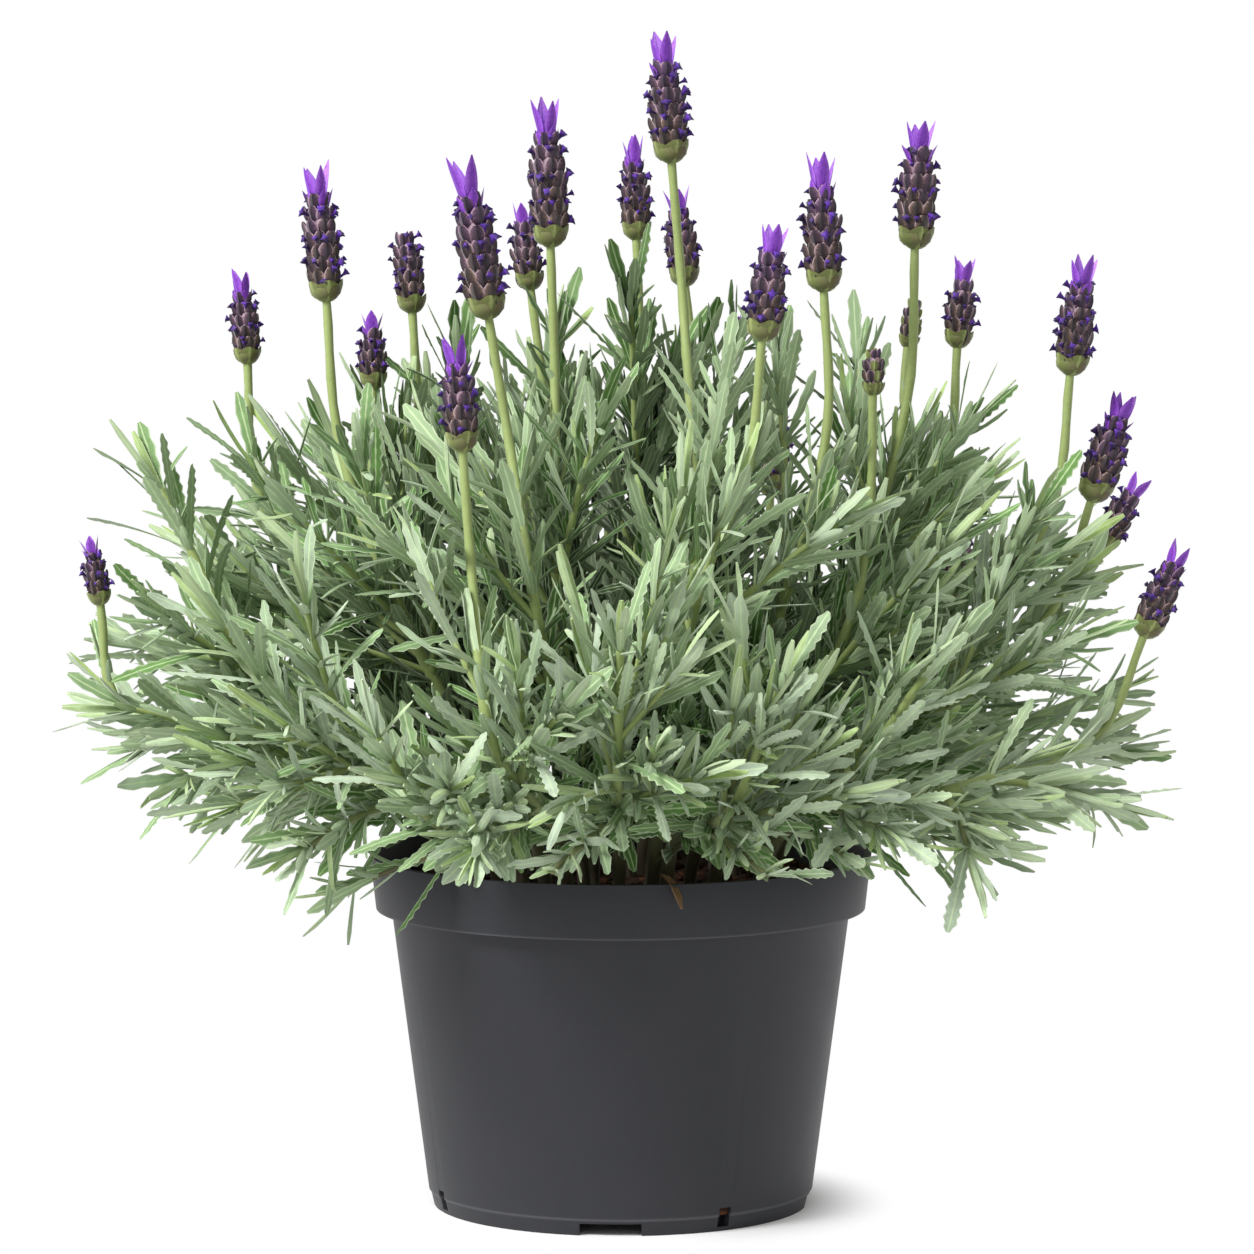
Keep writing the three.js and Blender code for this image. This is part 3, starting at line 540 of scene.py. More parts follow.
def start_disc(name, sides, radius, **place):
    """A new disc, in edit mode with all of it selected, from which a shape is drawn up."""
    bpy.ops.mesh.primitive_circle_add(vertices=sides, radius=radius, fill_type="NGON", **place)
    piece = only(bpy.context.object)
    piece.name = name
    bpy.ops.object.transform_apply(location=True, rotation=True, scale=True)
    bpy.ops.object.mode_set(mode="EDIT")
    bpy.ops.mesh.select_all(action="SELECT")
    return piece


def stack_rings(rings, axis=2):
    """Extrudes the disc along z, or another axis, through rings of (radius, place)."""
    for (old_radius, old_place), (radius, place) in zip(rings, rings[1:]):
        move, centre, ratios = [0, 0, 0], [0, 0, 0], [radius / old_radius] * 3
        move[axis] = place - old_place
        centre[axis] = place
        ratios[axis] = 1
        bpy.ops.mesh.extrude_region_move(TRANSFORM_OT_translate={"value": move})
        bpy.ops.transform.resize(value=ratios, center_override=centre)


def face_outward():
    """In edit mode, turns every face of the shape outwards."""
    bpy.ops.mesh.select_all(action="SELECT")
    bpy.ops.mesh.normals_make_consistent(inside=False)


def apply_modifier(piece, kind, **settings):
    """Adds a modifier with its settings and applies it."""
    only(piece)
    modifier = piece.modifiers.new(kind.lower(), kind)
    for name, value in settings.items():
        setattr(modifier, name, value)
    bpy.ops.object.modifier_apply(modifier=modifier.name)


def smooth(piece, degrees):
    """Smooths the shading where two faces meet at less than an angle."""
    only(piece)
    bpy.ops.object.shade_smooth_by_angle(angle=math.radians(degrees))


def join(piece, other):
    """Joins another object into the piece."""
    only(piece)
    other.select_set(True)
    bpy.ops.object.join()


def coat(piece, material):
    """Gives the piece one material alone."""
    piece.data.materials.clear()
    piece.data.materials.append(material)


def finish_piece(piece, slot, *nodes):
    """The piece rides with the row's one body and stands for its CAD nodes."""
    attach(piece, "root")
    if nodes:
        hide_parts(*nodes)
    print(piece.name, len(piece.data.polygons), "faces")


print("helpers for modelling ready")

# %% [markdown]
# ## The pot
# One moulded shell: a foot with a shallow channel under it, a tapering wall, a straight band under
# the rim and a thin lip. Its profile could be spun, but a disc that is extruded upwards ring by ring,
# drawn in at the lip and taken down again inside has no seam to close. The cut-outs are made with
# boxes and a Boolean, and a small bevel rounds every edge, because a moulded edge is never sharp.

# %% Pot
POT_SIDES = 160
RIM_RADIUS = 95 * MM
LIP_WIDTH = 2.4 * MM
BAND_BOTTOM_RADIUS = 92.7 * MM
BAND_WALL = 1.8 * MM
SHOULDER_DROP = 1 * MM
WALL_TOP_RADIUS = 86.9 * MM
WALL_THICKNESS = 1.7 * MM
FOOT_STEP_RADIUS = 73 * MM
FOOT_STEP = 0.6 * MM
FOOT_EASE = 0.5 * MM
PAD_MARGIN = 0.5 * MM
FOOT_RADIUS = 71.1 * MM
FOOT_RING_WIDTH = 8 * MM
PAD_RADIUS = 30 * MM
CHANNEL_DEPTH = 3.5 * MM
FLOOR_HEIGHT = 5.5 * MM
FOOT_CUT = {"width": 23 * MM, "high": 4.6 * MM, "azimuths": (87, 177, 267, 357)}
DRAIN_CUT = {"width": 5 * MM, "low": 1.5 * MM, "high": 9 * MM, "azimuths": (23, 113, 203, 302)}
DRAIN_INNER = 66 * MM
CUT_OVERRUN = 1.5 * MM
EDGE_ROUND = 0.45 * MM
BEVEL_FROM = 25
CREASE_FROM = 30
LEVEL = 0.01 * MM


def make_pot():
    """The pot's shell, standing on z = 0."""
    outside = [
        (FOOT_RADIUS, 0), (FOOT_STEP_RADIUS - FOOT_STEP, FOOT_HEIGHT - FOOT_EASE),
        (FOOT_STEP_RADIUS, FOOT_HEIGHT), (WALL_TOP_RADIUS, BAND_BOTTOM),
        (BAND_BOTTOM_RADIUS, BAND_BOTTOM), (RIM_RADIUS, POT_HEIGHT)]
    inside = [
        (RIM_RADIUS - LIP_WIDTH, POT_HEIGHT),
        (BAND_BOTTOM_RADIUS - BAND_WALL, BAND_BOTTOM + BAND_WALL),
        (WALL_TOP_RADIUS - WALL_THICKNESS, BAND_BOTTOM + BAND_WALL - SHOULDER_DROP),
        (FOOT_STEP_RADIUS - WALL_THICKNESS, FLOOR_HEIGHT)]
    pot = start_disc("nursery_pot", POT_SIDES, FOOT_RADIUS)
    stack_rings(outside + inside)
    face_outward()
    # The channel under the pot lies between its foot ring and the middle pad
    pick(lambda place: place.z < LEVEL)
    channel_outer = FOOT_RADIUS - FOOT_RING_WIDTH
    bpy.ops.mesh.inset(thickness=FOOT_RING_WIDTH)
    bpy.ops.mesh.inset(thickness=channel_outer - PAD_RADIUS)
    pad_edge = PAD_RADIUS + PAD_MARGIN
    work = bmesh.from_edit_mesh(pot.data)
    for face in work.faces:
        middle = face.calc_center_median()
        face.select_set(abs(middle.z) < LEVEL and pad_edge < middle.xy.length < channel_outer)
    bmesh.update_edit_mesh(pot.data)
    bpy.ops.mesh.extrude_region_move(TRANSFORM_OT_translate={"value": (0, 0, CHANNEL_DEPTH)})
    bpy.ops.object.mode_set(mode="OBJECT")
    return pot


def cut_box(azimuth, width, low, high, inner):
    """A box that reaches from an inner radius out through the wall."""
    depth = RIM_RADIUS - inner
    turn = math.radians(azimuth)
    middle = inner + depth / 2
    bpy.ops.mesh.primitive_cube_add(
        size=1, location=(middle * math.cos(turn), middle * math.sin(turn), (low + high) / 2),
        rotation=(0, 0, turn))
    box = bpy.context.object
    box.scale = (depth, width, high - low)
    return box


pot = make_pot()
channel_inner = FOOT_RADIUS - FOOT_RING_WIDTH - CUT_OVERRUN
boxes = [cut_box(azimuth, FOOT_CUT["width"], -CUT_OVERRUN, FOOT_CUT["high"], channel_inner)
         for azimuth in FOOT_CUT["azimuths"]]
boxes += [cut_box(azimuth, DRAIN_CUT["width"], DRAIN_CUT["low"], DRAIN_CUT["high"], DRAIN_INNER)
          for azimuth in DRAIN_CUT["azimuths"]]
for box in boxes:
    apply_modifier(pot, "BOOLEAN", object=box, operation="DIFFERENCE", solver="EXACT")
    bpy.data.objects.remove(box)
apply_modifier(pot, "BEVEL", width=EDGE_ROUND, segments=2, limit_method="ANGLE",
               angle_limit=math.radians(BEVEL_FROM))
smooth(pot, CREASE_FROM)
coat(pot, pot_plastic)
finish_piece(pot, "pot", "pot")

# %% [markdown]
# ## The soil
# The soil fills the pot, so it also shows brown in the drainage slots. A bump alone would leave its
# edge at the pot's wall a clean line. So a tapered drum is built from rings like the pot, and its
# top is cut up finely and pushed up and down by a cloud texture.

# %% Soil
SOIL_LEVEL = 122 * MM
FIT_GAP = 0.4 * MM
SOIL_SIDES = 96
SOIL_RINGS = 26
SOIL_ROUGH = 5 * MM
SOIL_EDGE = 1.5 * MM
CLOD_SIZE = 7 * MM


def make_soil():
    """The filling of the pot, from its floor to the level of the soil."""
    drum = [
        (FOOT_STEP_RADIUS - WALL_THICKNESS - FIT_GAP, FLOOR_HEIGHT + FIT_GAP),
        (WALL_TOP_RADIUS - WALL_THICKNESS - FIT_GAP,
         BAND_BOTTOM + BAND_WALL - SHOULDER_DROP + FIT_GAP),
        (BAND_BOTTOM_RADIUS - BAND_WALL - FIT_GAP, BAND_BOTTOM + BAND_WALL + FIT_GAP),
        (BAND_BOTTOM_RADIUS - BAND_WALL, SOIL_LEVEL)]
    soil = start_disc("peat_filling", SOIL_SIDES, drum[0][0], location=(0, 0, drum[0][1]))
    stack_rings(drum)
    for _ in range(SOIL_RINGS - 1):
        bpy.ops.mesh.inset(thickness=drum[-1][0] / (SOIL_RINGS + 0.5))
    bpy.ops.mesh.poke()
    face_outward()
    bpy.ops.object.mode_set(mode="OBJECT")
    top = soil.vertex_groups.new(name="top")
    inner = drum[-1][0] - SOIL_EDGE
    top.add([v.index for v in soil.data.vertices
             if v.co.z > SOIL_LEVEL - LEVEL and v.co.xy.length < inner], 1, "REPLACE")
    clods = bpy.data.textures.new("clods", "CLOUDS")
    clods.noise_scale = CLOD_SIZE
    clods.noise_depth = 4
    apply_modifier(soil, "DISPLACE", texture=clods, texture_coords="LOCAL", direction="Z",
                   strength=SOIL_ROUGH, mid_level=0.5, vertex_group="top")
    return soil


soil = make_soil()
print("soil", len(soil.data.polygons), "faces")

# %% [markdown]
# ## Copies of a small shape
# Thousands of leaves, florets and crumbs are copies of a few shapes that are each modelled once.
# They could be placed as objects and joined, but that takes minutes. So a modelled shape is read
# back as arrays, a copy's points are worked out all at once, and the copies are gathered into one
# mesh for each piece. A copy keeps the UV map and carries one number, its tone, for the materials.


# %% Shapes and their copies
class Shape:
    """A modelled shape as arrays: points, corners of faces, their UV map and materials."""

    def __init__(self, piece):
        data = piece.data
        self.points = np.empty(len(data.vertices) * 3)
        self.corners = np.empty(len(data.loops), dtype=int)
        self.totals = np.empty(len(data.polygons), dtype=int)
        self.slots = np.empty(len(data.polygons), dtype=int)
        self.uv = np.zeros(len(data.loops) * 2)
        data.vertices.foreach_get("co", self.points)
        data.loops.foreach_get("vertex_index", self.corners)
        data.polygons.foreach_get("loop_total", self.totals)
        data.polygons.foreach_get("material_index", self.slots)
        if data.uv_layers:
            data.uv_layers[0].data.foreach_get("uv", self.uv)
        self.points = self.points.reshape(-1, 3)
        self.uv = self.uv.reshape(-1, 2)
        bpy.data.objects.remove(piece)


def gather(name, copies, materials):
    """One object that holds all copies. Each copy is (shape, points, tone, first material)."""
    offsets = np.cumsum([0] + [len(points) for _, points, _, _ in copies])
    points = np.concatenate([points for _, points, _, _ in copies])
    corners = np.concatenate([
        shape.corners + offset for (shape, _, _, _), offset in zip(copies, offsets)])
    totals = np.concatenate([shape.totals for shape, _, _, _ in copies])
    slots = np.concatenate([shape.slots + first for shape, _, _, first in copies])
    uv = np.concatenate([shape.uv for shape, _, _, _ in copies])
    tones = np.concatenate([np.full(len(points), tone) for _, points, tone, _ in copies])
    data = bpy.data.meshes.new(name)
    data.vertices.add(len(points))
    data.loops.add(len(corners))
    data.polygons.add(len(totals))
    data.vertices.foreach_set("co", points.ravel())
    data.loops.foreach_set("vertex_index", corners)
    data.polygons.foreach_set("loop_start", np.cumsum(totals) - totals)
    data.polygons.foreach_set("loop_total", totals)
    data.polygons.foreach_set("material_index", slots)
    data.uv_layers.new(name="UVMap").data.foreach_set("uv", uv.ravel())
    data.attributes.new("tone", "FLOAT", "POINT").data.foreach_set("value", tones)
    for material in materials:
        data.materials.append(material)
    data.update(calc_edges=True)
    data.validate()
    piece = bpy.data.objects.new(name, data)
    bpy.context.collection.objects.link(piece)
    return piece


print("shapes can be gathered")

# %% [markdown]
# ## Crumbs on the soil
# Loose crumbs of peat and bark lie on the soil. The cloud texture alone is too soft for them, and a
# simulation that drops them would end much like a random scatter. So they are scattered: each one is
# a squashed lump of twenty faces, turned and sized at random and sunk a little into the soil.

# %% Crumbs
CRUMB_COUNT = 420
CRUMB_SIZE = (0.8 * MM, 3.2 * MM)
CRUMB_SQUASH = (1, 0.8, 0.6)
CRUMB_LIFT = 0.2
CRUMB_EDGE = 6 * MM
CRUMB_SEED = 11
SOIL_CREASE = 50

bpy.ops.mesh.primitive_ico_sphere_add(subdivisions=1, radius=1)
lump = only(bpy.context.object)
bpy.ops.object.mode_set(mode="EDIT")
bpy.ops.mesh.select_all(action="SELECT")
bpy.ops.transform.resize(value=CRUMB_SQUASH)
bpy.ops.object.mode_set(mode="OBJECT")
crumb = Shape(lump)
draw_crumb = np.random.default_rng(CRUMB_SEED)
crumb_copies = []
for _ in range(CRUMB_COUNT):
    radius = (BAND_BOTTOM_RADIUS - CRUMB_EDGE) * math.sqrt(draw_crumb.random())
    turn = draw_crumb.random() * math.tau
    size = draw_crumb.uniform(*CRUMB_SIZE)
    basis = np.linalg.qr(draw_crumb.normal(size=(3, 3)))[0]
    place = (radius * math.cos(turn), radius * math.sin(turn), SOIL_LEVEL + size * CRUMB_LIFT)
    crumb_copies.append((crumb, crumb.points @ basis * size + place, 0, 0))
coat(soil, peat)
join(soil, gather("crumbs", crumb_copies, [peat]))
smooth(soil, SOIL_CREASE)
finish_piece(soil, "potting_soil", "potting_soil")

# %% [markdown]
# ## The stems' places
# Each stem grows along a smooth curve through a few points. They could be read back from the CAD's
# meshes, but a curve is told far better by the points it was drawn with, so this is the CAD's table.
# `top` is a stem's end and `middle` a point on its way, in millimetres. `bare` is the share of its
# length that is a bare stalk, `lean` the head's slope to the side and back, `head` its length and
# width. A side shoot is its fork, as a share of the main stem, and its end. A twin is a second head
# on a stalk of its own, and a bud is a young head on a side shoot.

# %% Table of stems
STEMS = [
    {"top": (19, -10, 395), "middle": (27, -85, 249), "bare": 0.42, "lean": (-0.08, 0.02),
     "head": (47, 17), "sides": [(0.42, 38, -42, 316)]},
    {"top": (-26, -25, 364), "middle": (-24, -52, 244), "bare": 0.3, "lean": (-0.03, 0),
     "head": (54, 17), "sides": [(0.42, -8, -78, 300)]},
    {"top": (-48, -70, 339), "middle": (-32, -92, 242), "bare": 0.3, "lean": (-0.16, -0.04),
     "head": (58, 18), "sides": [(0.35, -78, -112, 256)]},
    {"top": (-109, -30, 344), "middle": (-88, -36, 242), "bare": 0.36, "lean": (-0.08, 0),
     "head": (50, 16), "sides": [(0.42, -94, -72, 284)]},
    {"top": (-80, 45, 337), "middle": (-58, 38, 239), "bare": 0.3, "lean": (-0.09, 0.08),
     "head": (37, 14), "sides": [(0.45, -62, 22, 316)]},
    {"top": (-141, 10, 319), "middle": (-112, 8, 226), "bare": 0.36, "lean": (-0.07, 0.04),
     "head": (34, 13), "sides": [(0.47, -136, -18, 280), (0.37, -158, 42, 242)]},
    {"top": (-94, 20, 309), "middle": (-78, 14, 226), "bare": 0.3, "lean": (-0.02, 0.06),
     "head": (28, 13), "sides": [(0.4, -112, 46, 276)]},
    {"top": (-35, 70, 345), "middle": (-27, 58, 244), "bare": 0.28, "lean": (-0.12, 0.1),
     "head": (33, 14), "sides": [(0.45, -28, 96, 304), (0.5, -24, 26, 326)]},
    {"top": (6, 45, 365), "middle": (6, 36, 244), "bare": 0.32, "lean": (-0.03, 0.06),
     "head": (38, 14), "sides": [(0.5, 4, 8, 338)]},
    {"top": (25, 85, 346), "middle": (20, 68, 244), "bare": 0.3, "lean": (-0.09, 0.12),
     "head": (37, 15), "sides": [(0.5, 44, 52, 322), (0.42, 18, 122, 282)],
     "bud": {"top": (44, 52, 322), "lean": (0.06, 0.04), "head": (13, 6)}},
    {"top": (75, -40, 348), "middle": (62, -50, 239), "bare": 0.32, "lean": (-0.03, 0),
     "head": (49, 17), "sides": [(0.45, 58, -8, 322)]},
    {"top": (110, -10, 363), "middle": (90, -12, 244), "bare": 0.34, "lean": (0.04, 0.02),
     "head": (47, 17), "sides": [(0.45, 90, 20, 316), (0.42, 126, -14, 292)]},
    {"top": (51, -95, 332), "middle": (28, -112, 242), "bare": 0.36, "lean": (0.11, 0),
     "head": (40, 16), "sides": [(0.43, 78, -106, 266)]},
    {"top": (130, 60, 323), "middle": (102, 48, 232), "bare": 0.28, "lean": (0.09, 0.08),
     "head": (33, 14), "sides": [(0.42, 118, 96, 266), (0.4, 160, 52, 242)],
     "twin": {"fork": 0.6, "top": (112, 84, 322), "lean": (0.16, 0.12), "head": (22, 10)}},
    {"top": (93, -45, 310), "middle": (84, -62, 226), "bare": 0.3, "lean": (0.02, -0.04),
     "head": (20, 10), "sides": [(0.4, 116, -84, 254)]},
    {"top": (168, -15, 316), "middle": (135, -15, 222), "bare": 0.34, "lean": (0.12, 0),
     "head": (43, 16), "sides": [(0.48, 152, -42, 262), (0.38, 172, 22, 230)]},
    {"top": (177, -5, 268), "middle": (127, -44, 198), "bare": 0.28, "lean": (0.33, 0.02),
     "head": (41, 17), "sides": [(0.42, 160, -62, 218)],
     "twin": {"fork": 0.66, "top": (184, 42, 246), "lean": (0.62, 0.12), "head": (31, 14)}},
    {"top": (195, -30, 219), "middle": (122, -94, 169), "bare": 0.2, "lean": (0.42, 0.04),
     "head": (36, 15), "sides": [(0.5, 172, -80, 164), (0.42, 124, -124, 150)]},
    {"top": (-56, -125, 294), "middle": (-46, -142, 194), "bare": 0.36, "lean": (-0.07, 0),
     "head": (39, 15), "sides": [(0.35, -22, -158, 202), (0.3, -50, -160, 156)]},
    {"top": (-196, -5, 229), "middle": (-132, -46, 180), "bare": 0.16, "lean": (-0.16, 0),
     "head": (25, 11), "sides": [(0.48, -180, -56, 194), (0.4, -158, -84, 172)]},
    {"top": (-90, 125, 242), "middle": (-62, 86, 194), "bare": 0.26, "lean": (-0.16, 0.18),
     "head": (40, 16), "sides": [(0.42, -128, 98, 218), (0.4, -64, 148, 190)]},
    {"top": (-20, 150, 266), "middle": (-15, 102, 206), "bare": 0.28, "lean": (-0.03, 0.16),
     "head": (44, 16), "sides": [(0.4, -48, 148, 230), (0.35, 8, 168, 188)]},
    {"top": (60, 145, 260), "middle": (42, 100, 206), "bare": 0.28, "lean": (0.07, 0.2),
     "head": (42, 16), "sides": [(0.4, 34, 150, 236), (0.38, 88, 146, 190)]},
    {"top": (130, 120, 220), "middle": (86, 82, 184), "bare": 0.26, "lean": (0.2, 0.22),
     "head": (38, 15), "sides": [(0.46, 100, 134, 210), (0.39, 160, 96, 188)]},
    {"top": (0, -166, 226), "middle": (-1, -128, 172), "bare": 0,
     "sides": [(0.45, 26, -158, 180), (0.36, -24, -150, 146)]},
    {"top": (56, -155, 211), "middle": (40, -128, 166), "bare": 0,
     "sides": [(0.45, 76, -142, 172), (0.36, 52, -146, 144)]},
    {"top": (112, -120, 217), "middle": (82, -100, 174), "bare": 0, "sides": [(0.4, 92, -132, 160)]},
    {"top": (-86, -150, 194), "middle": (-66, -118, 159), "bare": 0, "sides": [(0.5, -60, -154, 176)]},
    {"top": (-143, -100, 228), "middle": (-108, -84, 182), "bare": 0,
     "sides": [(0.42, -112, -118, 236), (0.45, -138, -102, 164), (0.3, -112, -112, 150)]},
    {"top": (-173, -5, 272), "middle": (-136, -10, 204), "bare": 0,
     "sides": [(0.42, -182, 18, 210), (0.45, -166, -48, 226)]},
    {"top": (-166, 82, 196), "middle": (-112, 56, 166), "bare": 0,
     "sides": [(0.5, -182, 48, 170), (0.42, -126, 118, 164)]},
    {"top": (186, 62, 186), "middle": (124, 44, 166), "bare": 0,
     "sides": [(0.45, 146, 108, 156), (0.5, 186, 20, 170)]},
]
print(len(STEMS), "stems")

# %% [markdown]
# ## Curves and draws
# Blender's own curves could carry the stems, but they would not pass where the CAD's do. So the
# curves are worked out as in the CAD: a spline through the stem's points whose spacing follows the
# square root of their distance, which keeps it free of loops, and short Bezier curves for the side
# shoots. Each is sampled finely and read by its length. Random draws come from the CAD's small
# generator, so a leaf that is in the CAD gets the same length and angle here.


# %% Curves and draws
def drawer(seed):
    """The CAD's source of draws: a function of a low and a high value."""
    state = [(seed * 7919 + 12345) % 2**32]

    def draw(low, high):
        state[0] = (state[0] * 1664525 + 1013904223) % 2**32
        return low + (high - low) * state[0] / 2**32
    return draw


def unit(vector):
    return vector / np.linalg.norm(vector)


class Path:
    """A curve as fine samples, read by the share of its length."""

    def __init__(self, points):
        self.points = np.array(points, dtype=float)
        steps = np.linalg.norm(np.diff(self.points, axis=0), axis=1)
        self.run = np.concatenate([[0], np.cumsum(steps)])
        self.length = self.run[-1]

    def at(self, share):
        """The point at a share of the length, or the points at several shares."""
        reach = np.asarray(share) * self.length
        places = [np.interp(reach, self.run, self.points[:, axis]) for axis in range(3)]
        return np.stack(places, axis=-1)

    def along(self, share):
        """The direction at a share of the length."""
        return unit(self.at(min(share + 0.01, 1)) - self.at(max(share - 0.01, 0)))


def spline(points, samples=40):
    """A centripetal Catmull-Rom curve through the points."""
    points = [np.array(point, dtype=float) for point in points]
    padded = [2 * points[0] - points[1], *points, 2 * points[-1] - points[-2]]
    found = []
    for a, b, c, d in zip(padded, padded[1:], padded[2:], padded[3:]):
        gaps = [max(math.sqrt(np.linalg.norm(q - p)), 1e-4) for p, q in ((a, b), (b, c), (c, d))]
        start = ((b - a) / gaps[0] - (c - a) / (gaps[0] + gaps[1]) + (c - b) / gaps[1]) * gaps[1]
        end = ((c - b) / gaps[1] - (d - b) / (gaps[1] + gaps[2]) + (d - c) / gaps[2]) * gaps[1]
        t = np.linspace(0, 1, samples, endpoint=False)[:, None]
        found.append(b + start * t + (3 * (c - b) - 2 * start - end) * t**2
                     + (2 * (b - c) + start + end) * t**3)
    return Path(np.vstack([*found, points[-1]]))


def bezier(*points, samples=30):
    """A Bezier curve with three or four points."""
    t = np.linspace(0, 1, samples)[:, None]
    degree = len(points) - 1
    return Path(sum(math.comb(degree, k) * (1 - t) ** (degree - k) * t**k * point
                    for k, point in enumerate(points)))


def head_axis(lean):
    return unit(np.array([lean[0], lean[1], 1.0]))


print("curves ready")

# %% [markdown]
# ## How a stem runs
# A main stem leaves the soil upright, leans out to its middle point and, if it flowers, meets its
# head along the head's axis. Straight sticks would look planted, so a side shoot leaves the stem
# along the stem's own direction and bends to its end, as a shoot does that turns to the light.

# %% Stem curves
STEM_START = 127 * MM
STEM_FOOT = 108 * MM
STEM_BASE_SCALE = 0.42
RISE_HEIGHT = 20 * MM
RISE_SHARE = 0.12
NECK_SHARE = 0.22
SHOOT_BEND = 0.35
TWIN_NECK = 0.5


def millimetres(values):
    return np.array(values, dtype=float) * MM


def main_curve(row):
    middle = millimetres(row["middle"])
    top = millimetres(row["top"])
    base = np.array([middle[0] * STEM_BASE_SCALE, middle[1] * STEM_BASE_SCALE, STEM_START])
    rise = base + (middle - base) * RISE_SHARE
    rise[2] = STEM_START + RISE_HEIGHT
    points = [base, rise, middle, top]
    if "head" in row:
        points.insert(3, top - head_axis(row["lean"]) * NECK_SHARE * np.linalg.norm(top - base))
    return spline(points)


def side_curve(main, fork, end):
    start = main.at(fork)
    middle = (start + end) / 2
    control = start + main.along(fork) * np.linalg.norm(end - start) * SHOOT_BEND
    return bezier(start, control + (middle - control) * SHOOT_BEND, end)


def twin_curve(main, twin):
    start = main.at(twin["fork"])
    end = millimetres(twin["top"])
    reach = np.linalg.norm(end - start)
    neck = end - head_axis(twin["lean"]) * reach * TWIN_NECK
    return bezier(start, start + main.along(twin["fork"]) * reach * SHOOT_BEND, neck, end)


print("first stem is", round(main_curve(STEMS[0]).length / MM), "mm long")

# %% [markdown]
# ## One leaf, one young leaf, and the bracts of the head
# A leaf is narrow and blunt, with a row of round teeth on each side, a sunk midrib and a keel below.
# A flat plane with a picture cut out would be lighter, but it has no thickness and no margin that
# catches the light. All blades are made the same way: a small four-cornered section is extruded
# along the leaf and resized at each step to the outline, every second point of an edge is drawn in
# for the teeth, and the upper corner is pushed down for the midrib. Left and right teeth are
# staggered by one step. Above and below are two materials.


# %% Blades
TOOTHED = (0.08, 0.97)
TINY = 1e-4


def model_blade(name, steps, outline, thickness, tooth=0, sink=0):
    """A blade along +Y, one unit long and one wide, from a section extruded in steps."""
    piece = start_disc(name, 4, 0.5, rotation=(math.pi / 2, 0, 0))
    width = outline(0)
    bpy.ops.transform.resize(value=(width, 1, thickness * width), center_override=(0, 0, 0))
    for step in range(1, steps + 1):
        bpy.ops.mesh.extrude_region_move(TRANSFORM_OT_translate={"value": (0, 1 / steps, 0)})
        ratio = outline(step / steps) / width
        bpy.ops.transform.resize(value=(ratio, 1, ratio), center_override=(0, step / steps, 0))
        width *= ratio
    face_outward()
    for side, odd in ((1, 0), (-1, 1)):
        pick(lambda place: place.x * side > TINY and round(place.y * steps) % 2 == odd
             and TOOTHED[0] < place.y < TOOTHED[1])
        bpy.ops.transform.resize(value=(1 - tooth, 1, 1), center_override=(0, 0, 0))
    pick(lambda place: place.z > TINY)
    bpy.ops.transform.resize(value=(1, 1, -sink), center_override=(0, 0, 0))
    bpy.ops.object.mode_set(mode="OBJECT")
    layer = piece.data.uv_layers.new(name="UVMap")
    for loop, corner in zip(piece.data.loops, layer.data):
        place = piece.data.vertices[loop.vertex_index].co
        half = max(outline(place.y) / 2, TINY)
        corner.uv = (0.5 + 0.5 * max(-1, min(1, place.x / half)), place.y)
    for face in piece.data.polygons:
        face.material_index = 1 if face.normal.z < 0 else 0
    return Shape(piece)


def leaf_outline(t):
    """Narrow at the root, slowly wider to three quarters of its length, round at the tip."""
    body = 0.42 + 0.58 * math.sin(math.pi / 2 * min(t / 0.7, 1))
    past = max(t - 0.78, 0) / 0.22
    return body * math.sqrt(max(1 - past**2, 0.06))


def even_outline(root, growth, turning, fall=1, power=2, least=0.2, is_round=True):
    """Widens evenly from the root and, past a turning point, closes to a round or pointed tip."""
    def width_at(t):
        past = max(t - turning, 0) / (1 - turning)
        closing = max(1 - fall * past**power, least)
        return min(root + growth * t, 1) * (math.sqrt(closing) if is_round else closing)
    return width_at


leaf = model_blade("leaf", 18, leaf_outline, 0.22, tooth=0.3, sink=0.1)
small_leaf = model_blade("small_leaf", 8, leaf_outline, 0.26, tooth=0.24, sink=0.1)
young_leaf = model_blade("young_leaf", 5, even_outline(0.6, 1.2, 0.8), 0.5, sink=-0.7)
# A crown bract ends in a blunt point, a whorl's is a round shield, a cup's is broad with a point
pointed = even_outline(0.42, 1.1, 0.5, power=2.2, least=0.1, is_round=False)
broad = even_outline(0.35, 2.2, 0.7, fall=0.75, is_round=False)
crown_bract = model_blade("crown_bract", 10, pointed, 0.12, sink=0.6)
tile = model_blade("tile", 6, even_outline(0.55, 1.3, 0.6), 0.34, sink=-0.6)
cup_bract = model_blade("cup_bract", 6, broad, 0.2, sink=0.2)
for blade in (crown_bract, tile, cup_bract):
    blade.slots[:] = 0
print("leaf faces", len(leaf.totals), "young leaf faces", len(young_leaf.totals))

# %% [markdown]
# ## Laying a blade on its line
# By hand a leaf would be bent with a curve modifier. For thousands of leaves the same bend is worked
# out on the array of points: each copy is laid along an arched line, turned about it by a twist, and
# its edges are rolled down a little.

